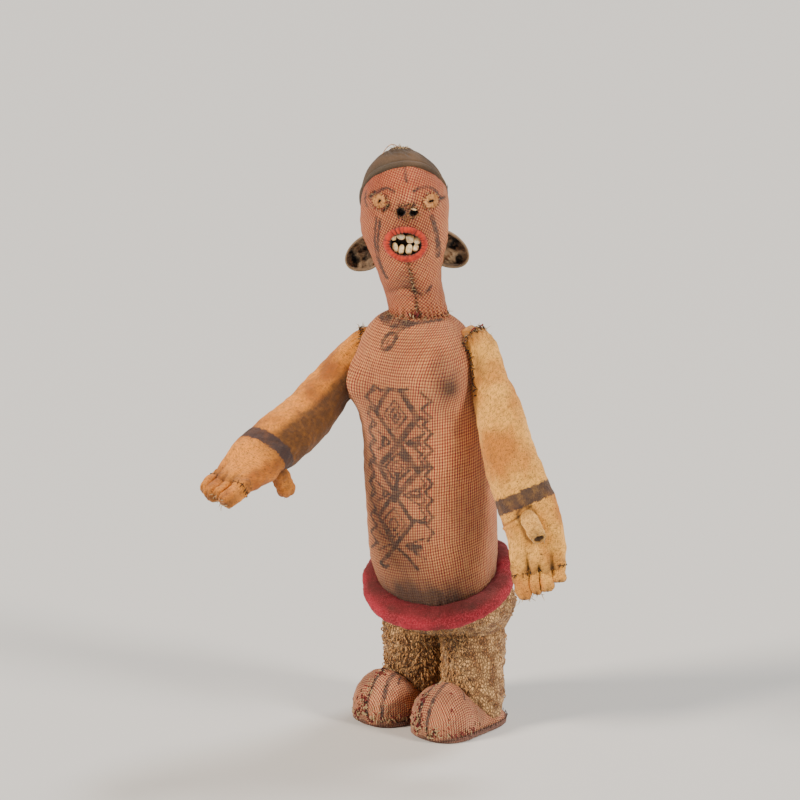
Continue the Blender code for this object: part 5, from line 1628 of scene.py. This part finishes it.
# And walked grey and brown on the soles.
sole_check = checked_cotton(
    "loomed_check_cotton_of_the_soles", "#b28870", "#8a463a", "#4e2226", CHECK_PITCH
)


def foot_place(side_name, along, across):
    """x and y of a place on a foot, from its heel."""
    x, y = turned(across, along - HEEL_BACK, FOOT_TURN[side_name])
    return ANKLES[side_name][0] + x, ANKLES[side_name][1] + y


for side_name, seed in (("left", 210), ("right", 230)):
    rows, cols = FOOT_GRID
    along, wide, high = sections_at(FOOT_SECTIONS, rows, (0, 1, 2))
    angle = round_turn(cols) - math.pi / 2
    arch = np.maximum(np.sin(angle), 0) + 0 * along
    side = wide * np.cos(angle)
    up = high * arch**FOOT_FULLNESS + 0.0003 * (np.sin(angle) > 0)
    x, y = foot_place(side_name, along + 0 * side, side)
    foot = np.stack([x, y, DOME_FOOT + up * FOOT_STRETCH], axis=-1)
    normal = outwards(foot)
    fan = np.arctan2(side, along - 0.055)
    at_toe = step(along, 0.045, 0.085)
    low = np.exp(-up / 0.0065) * at_toe
    lift = 0.0012 * low * np.sin(fan * 26 + 2 * ripples(foot, 0.02, seed))
    lift = lift + 0.0009 * ripples(foot, 0.035, seed + 1) + 0.0003 * ripples(foot, 0.008, seed + 2)
    foot = foot + (lift * step(arch, 0.0, 0.15))[..., None] * normal
    foot[..., 2] = np.maximum(foot[..., 2], DOME_FOOT)
    painted = from_strokes(side, along + 0 * side, FOOT_STRIPES[side_name])
    dirt_and_shade = 0.50 * low * step(ripples(foot, 0.012, seed + 3), -0.6, 1.2) + 0.32 * np.exp(-up / 0.003)
    dirt_and_shade = dirt_and_shade + 0.30 * step(ripples(foot, 0.030, seed + 7), 0.1, 1.6)
    marks = {"stroke": np.where(arch > 0.02, painted, NO_STROKE), "dirt_and_shade": np.clip(dirt_and_shade, 0, 0.8)}
    uv = cloth_lengths(foot, first_row=rows // 2)
    dome = surface("foot_dome_" + side_name, foot, foot_check, uv, marks)
    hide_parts("foot_" + side_name)

    darned = low * step(up, 0.0006, 0.002) + 0.7 * at_toe * bell(side - DARNED[side_name], 0.004)
    chance = (darned * (arch > 0.05)).ravel()
    random = np.random.default_rng(seed + 5)
    for kind, count, thread, length, radius in (
        ("dark", 46, brown_thread, 0.0040, 0.00034),
        ("red", 70, maroon_thread, 0.0036, 0.00050),
        ("pale", 96, undyed_thread, 0.0034, 0.00052),
    ):
        pick = random.choice(chance.size, count, p=chance / chance.sum())
        places, out = foot.reshape(-1, 3)[pick], normal.reshape(-1, 3)[pick]
        way = np.cross(out, random.normal(size=(count, 3))) + 0.8 * np.cross(out, np.cross(UPWARDS, out))
        name = f"toe_darning_{kind}_{side_name}"
        stitches(name, places, out, unit_of(way), length, 0.0010, radius, thread, seed + 8, loose=0.5)

    fine = np.linspace(0, len(FOOT_SECTIONS) - 1, 200)
    along, wide = (through(column, fine) for column in np.array(FOOT_SECTIONS).T[:2])
    along = along - SOLE_MIDDLE - TOE_OVERHANG * np.clip(along / SOLE_MIDDLE - 1, 0, 1) ** 2
    along, wide = np.append(along, along[::-1]), np.append(wide, -wide[::-1])
    edge_angle = np.arctan2(wide, along) % math.tau
    order = np.argsort(edge_angle)
    angle = round_turn(SOLE_COLS)
    size = np.interp(angle, edge_angle[order], np.hypot(wide, along)[order], period=math.tau)
    z, out = np.array(SOLE_PROFILE).T[..., None]
    x, y = foot_place(side_name, SOLE_MIDDLE + (size + out) * np.cos(angle), (size + out) * np.sin(angle))
    sole = np.stack([x, y, z + 0 * x], axis=-1)
    rim_out = unit_of(sole[3] - sole[3].mean(0))
    sole[2:6] += (0.00035 * ripples(sole[2:6], 0.006, seed + 4))[..., None] * rim_out
    marks = {"stroke": np.full(sole.shape[:2], NO_STROKE), "dirt_and_shade": np.full(sole.shape[:2], 0.24)}
    sole_pad = surface("sole_pad_" + side_name, sole, sole_check, cloth_lengths(sole), marks)
    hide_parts("sole_" + side_name)

    random = np.random.default_rng(seed + 5)
    for kind, count, thread, length, radius in (
        ("dark", 64, brown_thread, 0.0044, 0.00036),
        ("red", 22, maroon_thread, 0.0046, 0.00050),
        ("pale", 26, undyed_thread, 0.0042, 0.00050),
    ):
        if kind == "dark":  # evenly all the way round
            at, z = np.linspace(-2.9, 2.9, count), np.full(count, 0.0062)
        else:  # here and there round the toe
            at = random.uniform(-1.15, 1.15, count)
            z = 0.0062 + abs(random.normal(0, 0.0030, count))
        reach = np.interp(at % math.tau, angle, size, period=math.tau) + 0.0011
        x, y = foot_place(side_name, SOLE_MIDDLE + reach * np.cos(at), reach * np.sin(at))
        out = np.stack([*turned(np.sin(at), np.cos(at), FOOT_TURN[side_name]), 0 * at], axis=-1)
        way = UPWARDS + 0.25 * np.cross(out, UPWARDS)
        places, name = np.stack([x, y, z], axis=-1), f"foot_stitches_{kind}_{side_name}"
        stitches(name, places, out, way, length, 0.0007, radius, thread, seed + 6, loose=0.3)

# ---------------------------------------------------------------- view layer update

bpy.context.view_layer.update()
